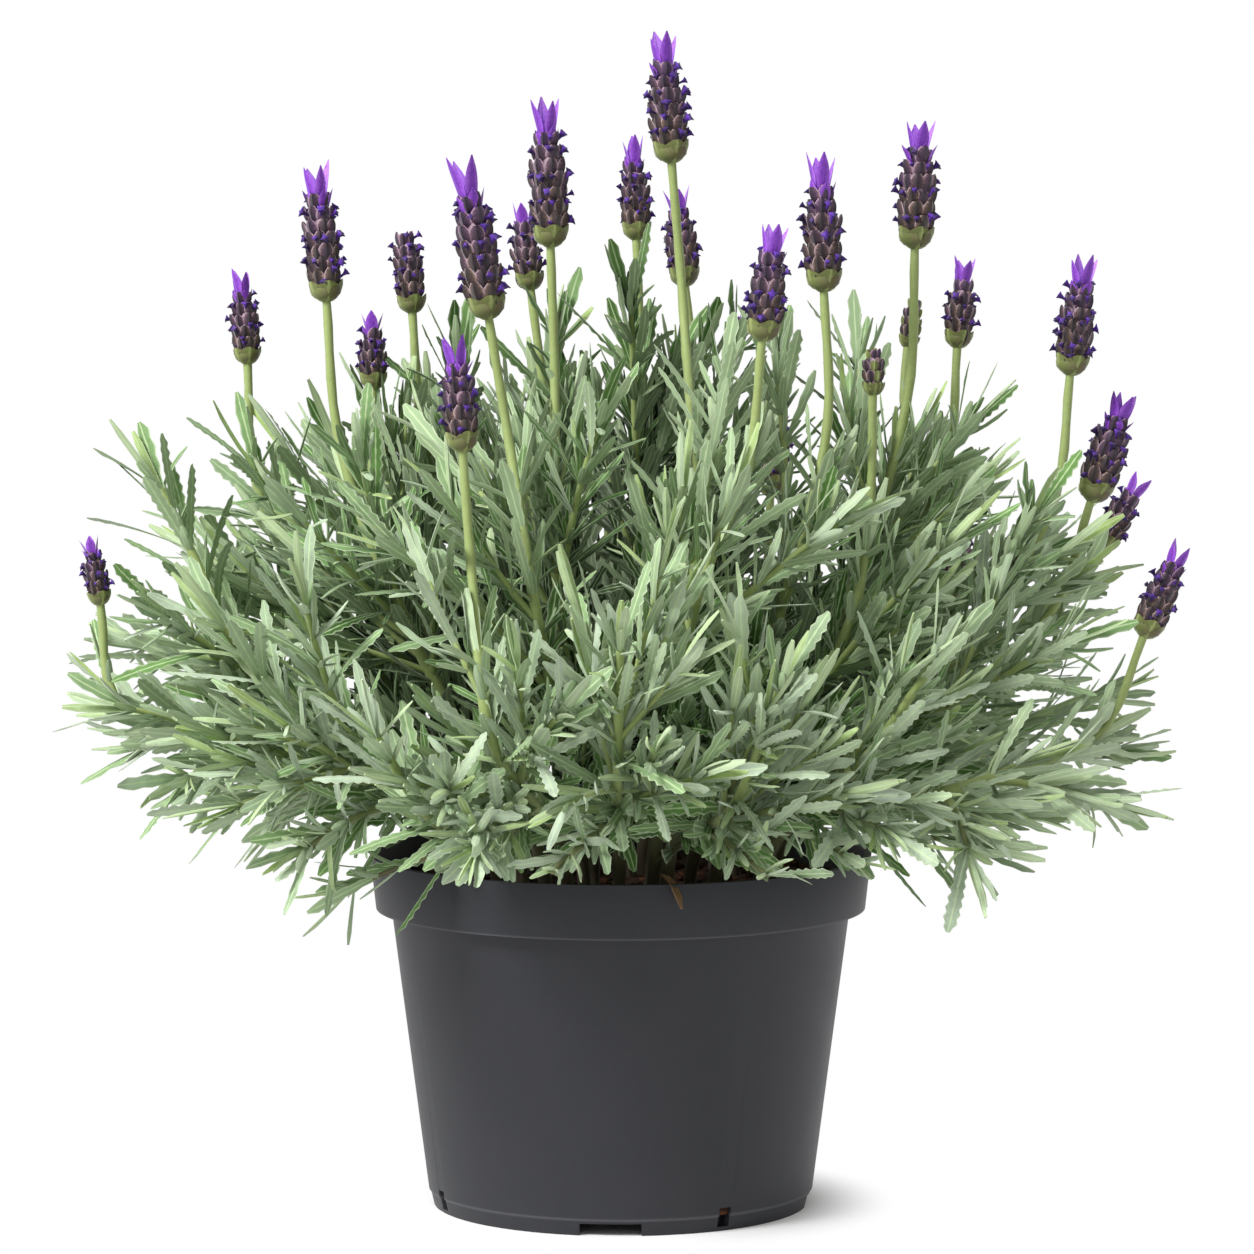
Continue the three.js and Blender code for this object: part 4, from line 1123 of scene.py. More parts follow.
# %% Bend a blade
def lay_blade(blade, root, along, up, length, width, arch=0, twist=0, roll=0):
    """The blade's points, laid from the root along an arched line that falls away from up."""
    side = np.cross(along, up)
    across, share, rise = blade.points.T
    turn = twist * share
    x = across * width
    z = rise * width - roll * width * (2 * across) ** 2
    x, z = x * np.cos(turn) - z * np.sin(turn), x * np.sin(turn) + z * np.cos(turn)
    slope = 2 * arch * share
    scale = 1 / np.sqrt(1 + slope**2)
    line = root + np.outer(length * share, along) - np.outer(arch * length * share**2, up)
    normal = np.outer(scale, up) + np.outer(slope * scale, along)
    return line + np.outer(x, side) + normal * z[:, None]


def around(axis, start, degrees):
    """A direction turned about an axis that it is square to."""
    turn = math.radians(degrees)
    return start * math.cos(turn) + np.cross(axis, start) * math.sin(turn)


def frame_across(along):
    """A direction across a stem, from which its leaves are counted round."""
    return unit(np.cross((0, 1, 0), along))


def tilted(axis, radial, degrees):
    """A direction that leans out from an axis, and the side of it that faces the axis."""
    turn = math.radians(degrees)
    along = axis * math.cos(turn) + radial * math.sin(turn)
    return along, axis * math.sin(turn) - radial * math.cos(turn)


print("blades can be laid")

# %% [markdown]
# ## Leaves on a shoot
# Leaves stand in opposite pairs, each pair turned against the one below. From the tip down they
# spread wider, grow longer and arch more. Copying the photo's leaves one by one would leave the
# plant bare from behind, so a rule with small draws grows them on every side. The pairs that the
# CAD has come first, with its own draws, but slimmer. The narrower and more upright pairs between
# and below them are added here.

# %% Plans for a leaf
LEAF_LENGTH = 42 * MM
LEAF_WIDTH = 8 * MM
PAIR_SPACING = 24 * MM
ROOT_SINK = 0.5 * MM
PAIR_ANGLE = {"first": 22, "step": 17, "most": 62, "draw": 6}
PAIR_LENGTH = {"first": 0.78, "step": 0.16, "most": 1.05, "low": 0.86, "high": 1.12}
PAIR_WIDTH = {"low": 0.85, "high": 1.1}
PAIR_ARCH = {"first": 0.02, "step": 0.08, "low": -0.06, "high": 0.1}
CAD_LEAF_SLIM = 0.74
FILL_ANGLE = {"first": 9, "step": 13, "most": 50, "draw": 9}
FILL_LENGTH = {"first": 0.74, "step": 0.1, "most": 0.98, "low": 0.76, "high": 1.12}
FILL_WIDTH = (4.1 * MM, 6.0 * MM)
FILL_ARCH = {"first": -0.05, "step": 0.05, "most": 0.1, "draw": 0.18}


def grown(rule, pair):
    """A rule's value for a pair counted from the tip down."""
    return min(rule["first"] + rule["step"] * pair, rule["most"])


def leaf_frame(path, share, azimuth, angle):
    """Root, direction and upper side of a leaf that leaves a shoot at an angle."""
    along = path.along(share)
    radial = around(along, frame_across(along), azimuth)
    return path.at(share) - radial * ROOT_SINK, *tilted(along, radial, angle)


def cad_plan(pair, draw):
    """The CAD's plan for a leaf of a pair, with its draws in the CAD's order."""
    angle = grown(PAIR_ANGLE, pair) + draw(-PAIR_ANGLE["draw"], PAIR_ANGLE["draw"])
    length = LEAF_LENGTH * grown(PAIR_LENGTH, pair) * draw(PAIR_LENGTH["low"], PAIR_LENGTH["high"])
    width = LEAF_WIDTH * draw(PAIR_WIDTH["low"], PAIR_WIDTH["high"])
    arch = PAIR_ARCH["first"] + PAIR_ARCH["step"] * pair + draw(PAIR_ARCH["low"], PAIR_ARCH["high"])
    return angle, length, width * CAD_LEAF_SLIM, arch


def fill_plan(pair, draw):
    """A leaf between the CAD's: nearly upright at the tip of a shoot, spreading lower down."""
    angle = grown(FILL_ANGLE, pair) + draw(-FILL_ANGLE["draw"], FILL_ANGLE["draw"])
    length = LEAF_LENGTH * grown(FILL_LENGTH, pair) * draw(FILL_LENGTH["low"], FILL_LENGTH["high"])
    arch = grown(FILL_ARCH, pair) + draw(-FILL_ARCH["draw"], FILL_ARCH["draw"])
    return angle, length, draw(*FILL_WIDTH), arch


print("longest leaf in mm:", round(LEAF_LENGTH * PAIR_LENGTH["most"] * PAIR_LENGTH["high"] / MM, 1))

# %% [markdown]
# ## Tone and room of a leaf
# The photo shows silver leaves low and in front, greener ones high up and dark ones deep inside,
# where little light comes. Lamps alone do not reach that contrast, so a leaf's tone also follows its
# place. Two things limit where a leaf may grow: the rim is bare in front, and the plant keeps within
# its reach on every side.

# %% Tone and room
TONE = {"middle": 0.7, "height": 0.42, "front": 0.2, "inside": 0.65, "draw": 0.2, "most": 0.86}
TONE_HEIGHT = {"from": 140, "over": 200}
TONE_FRONT = {"from": 60, "over": 260}
HEART = {"place": (0, 10 * MM, 165 * MM), "dark": 80 * MM, "bright": 148 * MM}
FRINGE = {"rise": 5 * MM, "slope": 0.06, "behind": 12 * MM}
REACH = {"front": 190 * MM, "back": 193 * MM, "side": 212 * MM}


def tone_at(place, chance):
    """Low leaves and those in front are silver, high ones greener and those inside dark."""
    height = (place[2] / MM - TONE_HEIGHT["from"]) / TONE_HEIGHT["over"]
    front = (-place[1] / MM + TONE_FRONT["from"]) / TONE_FRONT["over"]
    from_heart = np.linalg.norm(place - np.array(HEART["place"]))
    inside = min(max((HEART["bright"] - from_heart) / (HEART["bright"] - HEART["dark"]), 0), 1)
    tone = (TONE["middle"] - TONE["height"] * height + TONE["front"] * front
            - TONE["inside"] * inside + chance(-TONE["draw"], TONE["draw"]))
    return min(max(tone, 0), TONE["most"])


def has_room(tip):
    """True for a leaf's tip above the rim in front of the pot and within the plant's reach."""
    forward = -tip[1] - RIM_RADIUS
    lowest = POT_HEIGHT + FRINGE["rise"] + FRINGE["slope"] * max(forward, 0)
    over_rim = forward > -FRINGE["behind"] and abs(tip[0]) < RIM_RADIUS and tip[2] < lowest
    within = -REACH["front"] < tip[1] < REACH["back"] and abs(tip[0]) < REACH["side"]
    return within and not over_rim


print("room to the side in mm:", round(REACH["side"] / MM))

# %% [markdown]
# ## Pairs and tufts
# A leaf without room is raised and shortened in a few tries and left out if none of them helps. The
# pair at a shoot's tip is young: rolled like fingers and yellow green. In the axil of each leaf sits
# a tuft of young leaves. Fewer and larger leaves would be lighter to load, but the tufts are what
# makes a lavender look full, and they hide the light behind it.

# %% Pairs and tufts
TRIES = 5
SHRINK = 0.85
LONG_LEAF = 34 * MM
PAIR_TWIST = 0.6
PAIR_ROLL = (0.02, 0.16)
TIP_SLIM = 0.62
FRESH_CHANCE = 0.2
FRESH_TONES = (0.88, 1)
DARKEST_FRESH = 0.34
TUFT_TURN = 50
TUFT_ANGLE = (14, 58)
TUFT_LENGTH = (10 * MM, 25 * MM)
TUFT_WIDTH = (2.1 * MM, 3.4 * MM)
TUFT_ARCH = (-0.26, 0.3)
TUFT_TWIST = 0.4
TUFT_PALER = 0.08


def grow_pair(copies, path, share, azimuths, plans, extra, size=1, is_tip=False):
    """Two leaves at one height of a shoot."""
    for azimuth, (angle, length, width, arch) in zip(azimuths, plans):
        length *= size
        twist = extra(-PAIR_TWIST, PAIR_TWIST)
        roll = extra(*PAIR_ROLL)
        for _ in range(TRIES):
            root, along, up = leaf_frame(path, share, azimuth, angle)
            if has_room(root + (along - arch * up) * length):
                blade = leaf if length > LONG_LEAF else small_leaf
                tone = tone_at(root, extra)
                if is_tip and tone > DARKEST_FRESH:
                    blade = young_leaf
                    width *= TIP_SLIM
                    tone = extra(*FRESH_TONES)
                points = lay_blade(blade, root, along, up, length, width, arch, twist, roll)
                copies.append((blade, points, tone, 1))
                break
            angle *= SHRINK
            length *= SHRINK


def grow_tuft(copies, path, share, azimuth, extra, leaves):
    """Young leaves in the axil of a leaf."""
    for _ in range(leaves):
        root, along, up = leaf_frame(
            path, share, azimuth + extra(-TUFT_TURN, TUFT_TURN), extra(*TUFT_ANGLE))
        length = extra(*TUFT_LENGTH)
        arch = extra(*TUFT_ARCH)
        tone = tone_at(root, extra) + TUFT_PALER
        if tone > DARKEST_FRESH and extra(0, 1) < FRESH_CHANCE:
            tone = extra(*FRESH_TONES)
        if has_room(root + (along - arch * up) * length):
            points = lay_blade(young_leaf, root, along, up, length, extra(*TUFT_WIDTH), arch,
                               twist=extra(-TUFT_TWIST, TUFT_TWIST))
            copies.append((young_leaf, points, min(tone, 1), 1))


print("pairs and tufts ready")

# %% [markdown]
# ## A whole shoot
# Pairs follow each other from the tip down. They could be placed by an array along the curve, but
# each needs its own draws. The CAD's pairs keep its distances and its turn of 120 degrees. The added
# ones are about twice as close, and each is turned by a right angle, as in nature.

# %% Grow a shoot
TIP_INSET = 2 * MM
LOWEST_PAIR = 8 * MM
AZIMUTH_DRAW = 10
CAD_FACE_TURN = 120
FILL_TURN = 14
EXTRA_SEED = 7000
PAIRS_IN_CAD = {"flowering": 1, "leafy": 3, "side": 2}


def grow_shoot(copies, path, leafy_end, pairs, seed, tuft,
               low=LOWEST_PAIR, spacing=PAIR_SPACING / 2, size=1):
    """All leaves of one shoot, from its tip down."""
    draw = drawer(seed)
    extra = drawer(seed + EXTRA_SEED)
    for pair in range(pairs):
        share = leafy_end - (TIP_INSET + pair * PAIR_SPACING) / path.length
        if share * path.length <= LOWEST_PAIR:
            continue
        plans, azimuths = [], []
        for face in (pair + 0.5, pair + 1.5):
            plans.append(cad_plan(pair, draw))
            azimuths.append(face * CAD_FACE_TURN + draw(-AZIMUTH_DRAW, AZIMUTH_DRAW))
        grow_pair(copies, path, share, azimuths, plans, extra)
    turn = extra(0, 360)
    step = 0
    while True:
        down = TIP_INSET + spacing * step
        share = leafy_end - down / path.length
        if share * path.length < low:
            break
        sides = (turn + 90 * step, turn + 90 * step + 180)
        plans = [fill_plan(down / PAIR_SPACING, extra) for _ in range(2)]
        azimuths = [azimuth + extra(-FILL_TURN, FILL_TURN) for azimuth in sides]
        grow_pair(copies, path, share, azimuths, plans, extra, size, is_tip=step == 0)
        for azimuth in sides:
            grow_tuft(copies, path, share, azimuth, extra, tuft)
        step += 1


print("shoots can be grown")

# %% [markdown]
# ## Dried leaves
# One leaf that has dried lies bent over the rim in front, and a few more lie on the soil. A dried
# leaf curls up along its length. It could be sculpted, but the young leaf's blade, arched, twisted
# and rolled much more, already has that form. `root` is in millimetres, `toward` a direction.

# %% Dried leaves
DRIED = [
    {"root": (15, -84, 136), "toward": (0.42, -0.9, -0.05), "length": 17, "width": 3.4,
     "arch": 0.55},
    {"root": (-44, -70, 124), "toward": (0.8, -0.5, 0.1), "length": 20, "width": 4, "arch": 0.1},
    {"root": (58, -58, 124), "toward": (-0.3, -0.9, 0.12), "length": 16, "width": 4, "arch": 0.2},
    {"root": (-8, 66, 124), "toward": (0.9, 0.3, 0.1), "length": 18, "width": 4, "arch": 0.15},
]
DRIED_TWIST = 0.5
DRIED_ROLL = -0.3
SMALL_CREASE = 60

dried_copies = []
for fallen in DRIED:
    toward = unit(np.array(fallen["toward"]))
    upward = unit(np.array((0, 0, 1)) - toward * toward[2])
    dried_points = lay_blade(young_leaf, millimetres(fallen["root"]), toward, upward,
                             fallen["length"] * MM, fallen["width"] * MM, fallen["arch"],
                             DRIED_TWIST, DRIED_ROLL)
    dried_copies.append((young_leaf, dried_points, 0, 0))
dried = gather("dried_leaves", dried_copies, [dry_leaf_skin, dry_leaf_skin])
smooth(dried, SMALL_CREASE)
finish_piece(dried, "foliage")

# %% [markdown]
# ## Stems as bevelled curves
# A lavender shoot is nearly square, but at three to five millimetres that is hardly seen, so a
# round section does. Each stem is drawn as a curve with a round bevel, thick at its foot and thin
# at its tip, and a little swollen at every second point, as where leaves stand. A skin modifier on
# a line would do too, but it is harder to keep thin and even. The curve is then turned to a mesh.

# %% Stem tubes
STEM_RADIUS = (2.7 * MM, 1.75 * MM)
SIDE_RADIUS = (1.8 * MM, 1.2 * MM)
TWIG_RADIUS = (1.3 * MM, 0.9 * MM)
TUBE_SHARE = 0.88
TUBE_STEP = 9 * MM
FEWEST_STEPS = 5
NODE_SWELL = 0.12


def draw_tubes(name, tubes):
    """One object with a tube along each (path, radii, extra low point)."""
    curve = bpy.data.curves.new(name, "CURVE")
    curve.dimensions = "3D"
    curve.bevel_depth = 1
    curve.bevel_resolution = 2
    curve.use_fill_caps = True
    for path, (low, high), foot in tubes:
        count = max(FEWEST_STEPS, int(path.length / TUBE_STEP))
        shares = np.linspace(0, 1, count)
        points = path.at(shares)
        radii = (low + (high - low) * shares) * TUBE_SHARE
        radii = radii * (1 + NODE_SWELL * (np.arange(count) % 2))
        if foot is not None:
            points = np.vstack([foot, points])
            radii = np.concatenate([[low], radii])
        line = curve.splines.new("POLY")
        line.points.add(len(points) - 1)
        line.points.foreach_set("co", np.column_stack([points, np.ones(len(points))]).ravel())
        line.points.foreach_set("radius", radii)
    piece = bpy.data.objects.new(name, curve)
    bpy.context.collection.objects.link(piece)
    only(piece)
    bpy.ops.object.convert(target="MESH")
    piece = bpy.context.object
    coat(piece, shoot_skin)
    return piece


print("stems can be drawn")

# %% [markdown]
# ## Floret, core and bowl
# A head is a spike of whorls. Each whorl is a ring of broad bracts that overlap like tiles, and
# small violet florets look out between them. A bowl of bracts holds the spike, and a few large
# bright bracts stand on top as a crown. The tiles and the crown are blades. The floret, the core of
# the spike and the bowl are round, so they are turned like beads: a disc is drawn along its axis
# ring by ring. A spun curve would give the same, with a pole to clean up at each end. Every second
# corner of the floret's mouth is drawn in, which leaves four lobes.

# %% Floret, core and bowl
BEAD_SIDES = 8
BOWL_SIDES = 12
LOBE_DRAW = 0.45
MOUTH = 0.95


def turned_shape(name, sides, rings):
    """A round shape along +Y from rings of (radius, place)."""
    piece = start_disc(name, sides, rings[0][0], rotation=(math.pi / 2, 0, 0))
    stack_rings(rings, axis=1)
    face_outward()
    bpy.ops.object.mode_set(mode="OBJECT")
    return piece


def map_along(piece, sides=0):
    """A UV map whose V runs along +Y. U is the middle, or with sides, it swings edge to middle."""
    layer = piece.data.uv_layers.new(name="UVMap")
    for loop, corner in zip(piece.data.loops, layer.data):
        place = piece.data.vertices[loop.vertex_index].co
        is_edge = round(math.atan2(place.z, place.x) / math.tau * sides) % 2
        corner.uv = (0 if is_edge else 0.5, place.y)
    return Shape(piece)


floret_piece = turned_shape("floret", BEAD_SIDES, [
    (0.16, 0), (0.18, 0.55), (0.32, 0.78), (0.58, MOUTH), (0.5, 1)])
bpy.ops.object.mode_set(mode="EDIT")
pick(lambda place: place.y > 0.9 and abs(abs(place.x) - abs(place.z)) < 0.1)
bpy.ops.transform.resize(value=(LOBE_DRAW, 1, LOBE_DRAW), center_override=(0, MOUTH, 0))
bpy.ops.object.mode_set(mode="OBJECT")
floret = map_along(floret_piece)

# The core has no UV map, so it takes the near-black root colour of the bracts, painted shade for the
# gaps between them
core = Shape(turned_shape("core", BEAD_SIDES, [
    (0.3, 0), (0.42, 0.15), (0.5, 0.5), (0.4, 0.85), (0.2, 1)]))
bowl = map_along(turned_shape("bowl", BOWL_SIDES, [
    (0.16, 0), (0.34, 0.16), (0.47, 0.42), (0.51, 0.75), (0.5, 0.95), (0.44, 0.9), (0.3, 0.4)]),
    BOWL_SIDES)
print("tile faces", len(tile.totals), "floret faces", len(floret.totals))

# %% [markdown]
# ## Whorls of a head
# The spike swells and tapers as in the CAD. Each whorl's bracts lean out a little and hug it, and
# they stand between those of the whorl below. One lathed spike with a bump would be lighter, but it
# would lose the ragged edge that the photo shows. In the photo the violet of the florets lies in
# bands round a head, so they are dense in every second whorl and sparse in the others.

# %% Whorls of a head
HEAD_OUTLINE = {"base": 0.72, "swell": 1.6, "top": 1.62, "taper": 0.95}
CORE = {"length": 0.97, "width": 0.66, "tone": 0.3}
WHORL_STEP = 4.8 * MM
FEWEST_WHORLS = 3
FEWEST_TILES = 5
FLORET_ROOM = 1.5 * MM
TILE = {"across": 5.4 * MM, "length": 6.2 * MM, "width": 5.5 * MM, "lean": 34, "curl": -0.4,
        "hug": -0.2, "depth": 1.9 * MM, "lift": 0.2 * MM}
TILE_DRAW = {"turn": (-6, 6), "lean": (-6, 8), "length": (0.88, 1.06), "width": (0.88, 1.08)}
TILE_TONE = {"slope": 1.2, "start": 0.3, "draw": 0.22}
USUAL_WIDTH = 16 * MM
GREEN_TILES = 0.5
FLORET = {"length": 4.3 * MM, "width": 3.6 * MM, "depth": 1.7 * MM, "chances": (0.95, 0.35)}
FLORET_DRAW = {"turn": (-12, 12), "lean": (22, 72), "spin": (0, 90), "rise": (0.45, 0.7),
               "length": (0.75, 1.15), "width": (0.55, 1.1)}
LOWEST_FLORET = {"lean": 0.6, "rise": (0.8, 1)}


def fullness(t):
    """How full a head is at a share of its height, as in the CAD."""
    return min(HEAD_OUTLINE["base"] + HEAD_OUTLINE["swell"] * t, 1,
               HEAD_OUTLINE["top"] - HEAD_OUTLINE["taper"] * t)


def place_bead(shape, root, along, up, length, width):
    """The points of a round shape from a root along a direction."""
    side = np.cross(along, up)
    basis = np.stack([side * width, along * length, up * width])
    return shape.points @ basis + root


def tile_copy(seat, axis, radial, rise, reach, height, scale, is_bud, extra):
    """One bract of a whorl, more violet the higher it stands. Half of a bud's are green."""
    along, up = tilted(axis, radial, TILE["lean"] + extra(*TILE_DRAW["lean"]))
    root = seat + axis * rise + radial * reach
    points = lay_blade(tile, root, along, up, TILE["length"] * scale * extra(*TILE_DRAW["length"]),
                       TILE["width"] * scale * extra(*TILE_DRAW["width"]), TILE["curl"],
                       roll=TILE["hug"])
    tone = height * TILE_TONE["slope"] - TILE_TONE["start"]
    tone += extra(-TILE_TONE["draw"], TILE_TONE["draw"])
    return tile, points, min(max(tone, 0), 1), 3 if is_bud and extra(0, 1) < GREEN_TILES else 0


def floret_copy(seat, axis, radial, whorl, step, reach, scale, extra):
    """One floret above its whorl's bracts. Those of the lowest whorl stand higher, off the cup."""
    lean = extra(*FLORET_DRAW["lean"]) * (1 if whorl else LOWEST_FLORET["lean"])
    along, up = tilted(axis, radial, lean)
    spin_up = around(along, up, extra(*FLORET_DRAW["spin"]))
    rise = whorl + extra(*FLORET_DRAW["rise"]) if whorl else extra(*LOWEST_FLORET["rise"])
    root = seat + axis * (rise * step) + radial * reach
    points = place_bead(floret, root, along, spin_up,
                        FLORET["length"] * scale * extra(*FLORET_DRAW["length"]),
                        FLORET["width"] * scale * extra(*FLORET_DRAW["width"]))
    return floret, points, extra(0, 1), 1


def whorl_copies(seat, axis, start, body, width, scale, is_bud, extra):
    """The rings of bracts with the florets between them, round a core whose dark colour is painted
    shade.
    """
    core_points = place_bead(core, seat, axis, start, body * CORE["length"], width * CORE["width"])
    copies = [(core, core_points, CORE["tone"], 0)]
    whorls = max(FEWEST_WHORLS, round(body / (WHORL_STEP * scale**0.5)))
    step = body / whorls
    for whorl in range(whorls):
        height = (whorl + 0.5) / whorls
        radius = width / 2 * fullness(height) - FLORET_ROOM * scale
        count = max(FEWEST_TILES, round(math.tau * radius / (TILE["across"] * scale)))
        chance = FLORET["chances"][(whorl + whorls) % 2]
        for place in range(count):
            turn = (180 * whorl + 360 * place) / count + extra(*TILE_DRAW["turn"])
            copies.append(tile_copy(
                seat, axis, around(axis, start, turn), whorl * step + TILE["lift"],
                radius - TILE["depth"] * scale, height, scale, is_bud, extra))
            if is_bud or extra(0, 1) > chance:
                continue
            turn = (180 * whorl + 360 * (place + 0.5)) / count + extra(*FLORET_DRAW["turn"])
            copies.append(floret_copy(
                seat, axis, around(axis, start, turn), whorl, step,
                radius - FLORET["depth"] * scale, scale, extra))
    return copies


usual_radius = USUAL_WIDTH / 2 - FLORET_ROOM
print("bracts in a usual whorl:", round(math.tau * usual_radius / TILE["across"]))

# %% [markdown]
# ## Crown and cup of a head
# Four large bracts stand where the CAD has them, and a ring of smaller ones lower down closes the
# gaps between them. Their blades bend a little. Fine wrinkles could be sculpted in, but at this size
# the light on the bend is enough. The cup's five bracts spread under the bowl. Heads 1 to 22 are
# those in the photo, 5 is pointed without a crown, 15 and 16 are greenish buds without one, and 23
# to 26 are at the back. Number 0 is the tiny bud on a side shoot of the tenth stem.

# %% Crown and cup of a head
HEAD_SEED = 500
HEAD_EXTRA_SEED = 9000
HEAD_GAP = 0.35 * MM
NO_CROWN = (5,)
GREEN_BUDS = (15, 16)
SPIKE_SHARE = 0.74
HEAD_SIDE = 45
CROWN = {"petals": 4, "share": 0.22, "spread": 0.3, "width": 5.2 * MM, "root": 0.66,
         "out": 1.8 * MM}
CROWN_DRAW = {"spread": (0.7, 1.1), "rise": (0.85, 1.2)}
SMALL_PETALS = {"count": 5, "width": 3.9 * MM, "lean": 13, "low": 0.62, "out": 0.18}
SMALL_DRAW = {"turn": (-15, 15), "lean": (-8, 10), "length": (0.65, 0.95)}
PETAL_DRAW = {"width": (0.9, 1.12), "arch": (-0.04, 0.12), "tone": (0.1, 1)}
PETAL_ROLL = -0.12
CUP = {"bracts": 5, "tilt": 69, "length": 8.2 * MM, "width": 9.2 * MM, "curl": -0.66, "hug": -0.18,
       "low": 1.2 * MM, "out": 0.8 * MM}
CUP_DRAW = {"turn": (-8, 8), "tone": (0.2, 0.9)}
BOWL = {"height": 5.4 * MM, "width": 11.6 * MM, "low": 0.8 * MM, "tone": 0.4}


def petal_copy(root, tip, axis, radial, width, extra):
    """One bract of the crown from its root to its tip."""
    along = unit(tip - root)
    up = unit(axis * np.dot(radial, along) - radial * np.dot(axis, along))
    points = lay_blade(crown_bract, root, along, up, np.linalg.norm(tip - root),
                       width * extra(*PETAL_DRAW["width"]), arch=extra(*PETAL_DRAW["arch"]),
                       roll=PETAL_ROLL)
    return crown_bract, points, extra(*PETAL_DRAW["tone"]), 2


def crown_copies(seat, axis, start, length, width, scale, draw, extra):
    """The large bracts of the crown, with the CAD's draws, and the small ones between them."""
    crown = length * CROWN["share"]
    body = length - crown
    spin = draw(0, 1)
    copies = []
    for petal in range(CROWN["petals"]):
        spread = width * CROWN["spread"] * draw(*CROWN_DRAW["spread"])
        rise = crown * draw(*CROWN_DRAW["rise"])
        radial = around(axis, start, (petal * 2 + spin) * HEAD_SIDE)
        root = seat + axis * (body - crown * CROWN["root"]) + radial * CROWN["out"] * scale
        tip = seat + axis * (body + rise) + radial * spread
        copies.append(petal_copy(root, tip, axis, radial, CROWN["width"] * scale, extra))
    for petal in range(SMALL_PETALS["count"]):
        turn = 360 / SMALL_PETALS["count"] * petal + extra(*SMALL_DRAW["turn"])
        radial = around(axis, start, turn)
        along, up = tilted(axis, radial, SMALL_PETALS["lean"] + extra(*SMALL_DRAW["lean"]))
        root = seat + axis * (length * SMALL_PETALS["low"]) + radial * width * SMALL_PETALS["out"]
        tip = root + along * crown * extra(*SMALL_DRAW["length"])
        copies.append(petal_copy(root, tip, axis, radial, SMALL_PETALS["width"] * scale, extra))
    return copies


def cup_copies(seat, axis, start, scale, extra):
    """The bowl under the spike and the bracts that spread below it."""
    bowl_points = place_bead(
        bowl, seat - axis * BOWL["low"], axis, start, BOWL["height"] * scale, BOWL["width"] * scale)
    copies = [(bowl, bowl_points, BOWL["tone"], 3)]
    for bract in range(CUP["bracts"]):
        turn = 360 / CUP["bracts"] * bract + extra(*CUP_DRAW["turn"])
        radial = around(axis, start, turn)
        along, up = tilted(axis, radial, CUP["tilt"])
        root = seat - axis * CUP["low"] + radial * CUP["out"]
        points = lay_blade(cup_bract, root, along, up, CUP["length"] * scale, CUP["width"] * scale,
                           arch=CUP["curl"], roll=CUP["hug"])
        copies.append((cup_bract, points, extra(*CUP_DRAW["tone"]), 3))
    return copies


def head_copies(seat, flower, number):
    """The copies that make one head of the table on its seat: whorls, crown and cup."""
    axis = head_axis(flower["lean"])
    length, width = millimetres(flower["head"])
    draw = drawer(HEAD_SEED + number)
    extra = drawer(HEAD_SEED + number + HEAD_EXTRA_SEED)
    start = frame_across(axis)
    scale = width / USUAL_WIDTH
    is_bud = number in GREEN_BUDS
    has_crown = number not in NO_CROWN and not is_bud
    spike = length * SPIKE_SHARE if has_crown else length - length * CROWN["share"]
    copies = whorl_copies(seat, axis, start, spike, width, scale, is_bud, extra)
    if has_crown:
        copies += crown_copies(seat, axis, start, length, width, scale, draw, extra)
    return copies + cup_copies(seat, axis, start, scale, extra)


HEAD_SKINS = [bract_skin, floret_skin, crown_skin, cup_skin]
print("bracts of a crown:", CROWN["petals"] + SMALL_PETALS["count"])

# %% [markdown]
# ## Extra twigs
# The CAD's few side shoots would leave light gaps in the dome. Short twigs leave each stem at random
# and fill it, a few of them low and leaning far out, so that no light shows through the middle. The
# stems of the back stand further apart, so they have six more near the top. Scattering loose leaves
# would be quicker, but they would float.

# %% Extra twigs
TWIG_RULES = [
    {"count": 6, "forks": (0.16, 0.97), "lean": (0.22, 0.5)},
    {"count": 3, "forks": (0.05, 0.6), "lean": (0.4, 0.8)}]
BACK_TWIGS = {"count": 6, "forks": (0.35, 0.97), "lean": (0.22, 0.5)}
TWIG_LENGTH = (42 * MM, 78 * MM)
TWIG_BEND = {"along": 0.5, "out": 0.7}
TWIG_TRIES = 6
TWIG_REACH = 168 * MM
DOME = {"top": 322 * MM, "drop": 45 * MM, "radius": 130 * MM}


def twig_from(main, leafy_end, extra, rule):
    """A short shoot from the leafy part of a stem, kept under the dome, or None without room."""
    fork = leafy_end * extra(*rule["forks"])
    along = main.along(fork)
    radial = around(along, frame_across(along), extra(0, 360))
    start = main.at(fork)
    length = extra(*TWIG_LENGTH)
    lean = extra(*rule["lean"])
    for _ in range(TWIG_TRIES):
        end = start + (along * (1 - lean * lean) + radial * lean) * length
        dome = DOME["top"] - DOME["drop"] * (np.linalg.norm(end[:2]) / DOME["radius"]) ** 2
        if end[2] < dome and np.linalg.norm(end[:2]) < TWIG_REACH and has_room(end):
            bend = along * TWIG_BEND["along"] + radial * lean * TWIG_BEND["out"]
            return bezier(start, start + bend * length, end)
        length *= SHRINK
    return None


def twigs_of(row, main, leafy_end, extra):
    """The extra twigs of one row of the table."""
    rules = TWIG_RULES + [BACK_TWIGS] * (row["middle"][1] > 0)
    return [twig_from(main, leafy_end, extra, rule) for rule in rules for _ in range(rule["count"])]


print("extra twigs of a front stem:", sum(rule["count"] for rule in TWIG_RULES))

# %% [markdown]
# ## Growing the plant
# Row by row of the table: the stem's curve, its side shoots and twigs, its leaves, and its head or
# heads. All leaves and tubes of one row are one piece, because the CAD has them as one solid, and
# each head is a piece of its own.

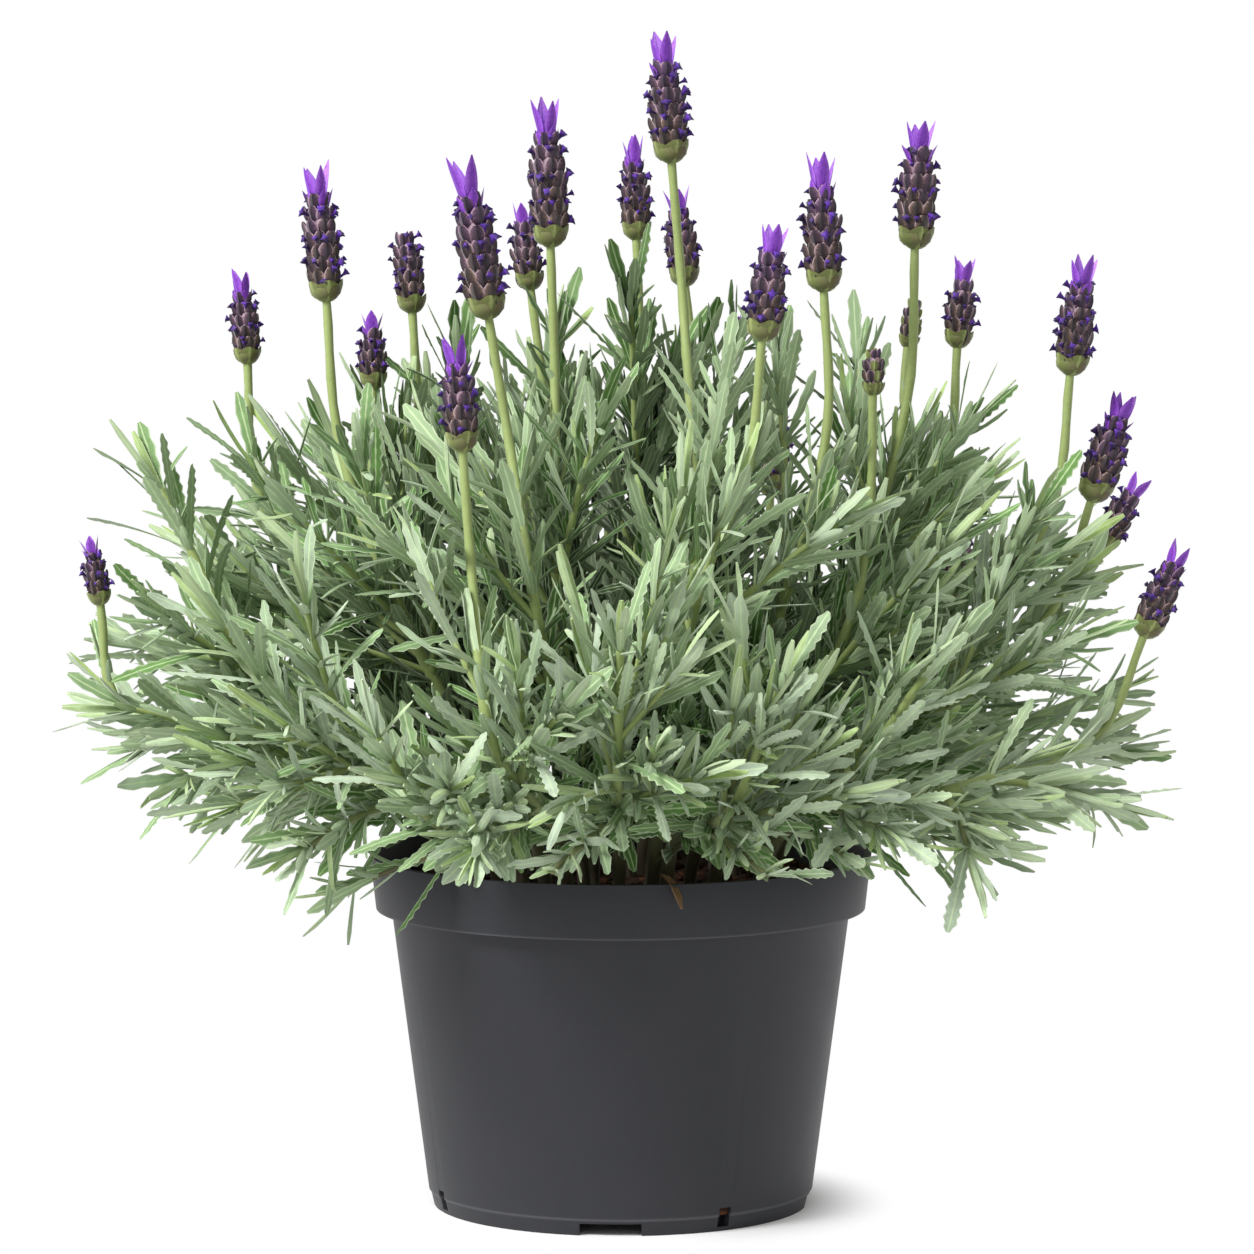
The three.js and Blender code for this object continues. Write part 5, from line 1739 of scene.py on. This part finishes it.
# %% Grow the plant
TWIG_SEED = 3000
TUFTS = {"main": 2, "side": 3, "twig": 1}
MAIN_LOW = 20 * MM
MAIN_SPACING = 13 * MM
TWIG_SPACING = 10 * MM
TWIG_LEAF_SIZE = 0.95
STEM_CREASE = 55

head_count = 0
leaf_total = 0
for index, row in enumerate(STEMS):
    number = f"{index + 1:02d}"
    main = main_curve(row)
    leafy_end = 1 - row["bare"]
    foot = main.at(0)
    foot[2] = STEM_FOOT
    tubes = [(main, STEM_RADIUS, foot)]
    copies = []
    pairs = PAIRS_IN_CAD["flowering" if "head" in row else "leafy"]
    grow_shoot(copies, main, leafy_end, pairs, index * 10, TUFTS["main"], MAIN_LOW, MAIN_SPACING)
    for k, (fork, *end) in enumerate(row["sides"], 1):
        side = side_curve(main, fork, millimetres(end))
        tubes.append((side, SIDE_RADIUS, None))
        grow_shoot(copies, side, 1, PAIRS_IN_CAD["side"], index * 10 + k, TUFTS["side"])
    for k, twig in enumerate(twigs_of(row, main, leafy_end, drawer(TWIG_SEED + index))):
        if twig:
            tubes.append((twig, TWIG_RADIUS, None))
            grow_shoot(copies, twig, 1, 0, TWIG_SEED + index * 10 + k, TUFTS["twig"],
                       spacing=TWIG_SPACING, size=TWIG_LEAF_SIZE)
    flowers = [(main, row)] if "head" in row else []
    if "twin" in row:
        twin = twin_curve(main, row["twin"])
        tubes.append((twin, (STEM_RADIUS[1], STEM_RADIUS[1]), None))
        flowers.append((twin, row["twin"]))
    for path, flower in flowers:
        head_count += 1
        seat = path.at(1) + head_axis(flower["lean"]) * HEAD_GAP
        bracts = head_copies(seat, flower, head_count)
        head = gather(f"lavender_head_{head_count:02d}", bracts, HEAD_SKINS)
        smooth(head, SMALL_CREASE)
        finish_piece(head, "flower_bracts", f"flower_head_{head_count:02d}")
    if "bud" in row:
        bud = head_copies(millimetres(row["bud"]["top"]), row["bud"], 0)
        copies += [(shape, points, tone, slot + 3) for shape, points, tone, slot in bud]
    leaves = gather(f"leaves_{number}", copies, [shoot_skin, leaf_top, leaf_below, *HEAD_SKINS])
    leaf_total += len(copies)
    stem = draw_tubes(f"lavender_stem_{number}", tubes)
    join(stem, leaves)
    smooth(stem, STEM_CREASE)
    finish_piece(stem, "foliage", f"leafy_stem_{number}")
print(leaf_total, "leaves,", head_count, "heads")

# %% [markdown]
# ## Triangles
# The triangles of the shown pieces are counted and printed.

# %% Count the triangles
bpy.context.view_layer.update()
meshes = [piece.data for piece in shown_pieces() if piece.type == "MESH"]
print("triangles:", sum(len(mesh.loops) - 2 * len(mesh.polygons) for mesh in meshes))
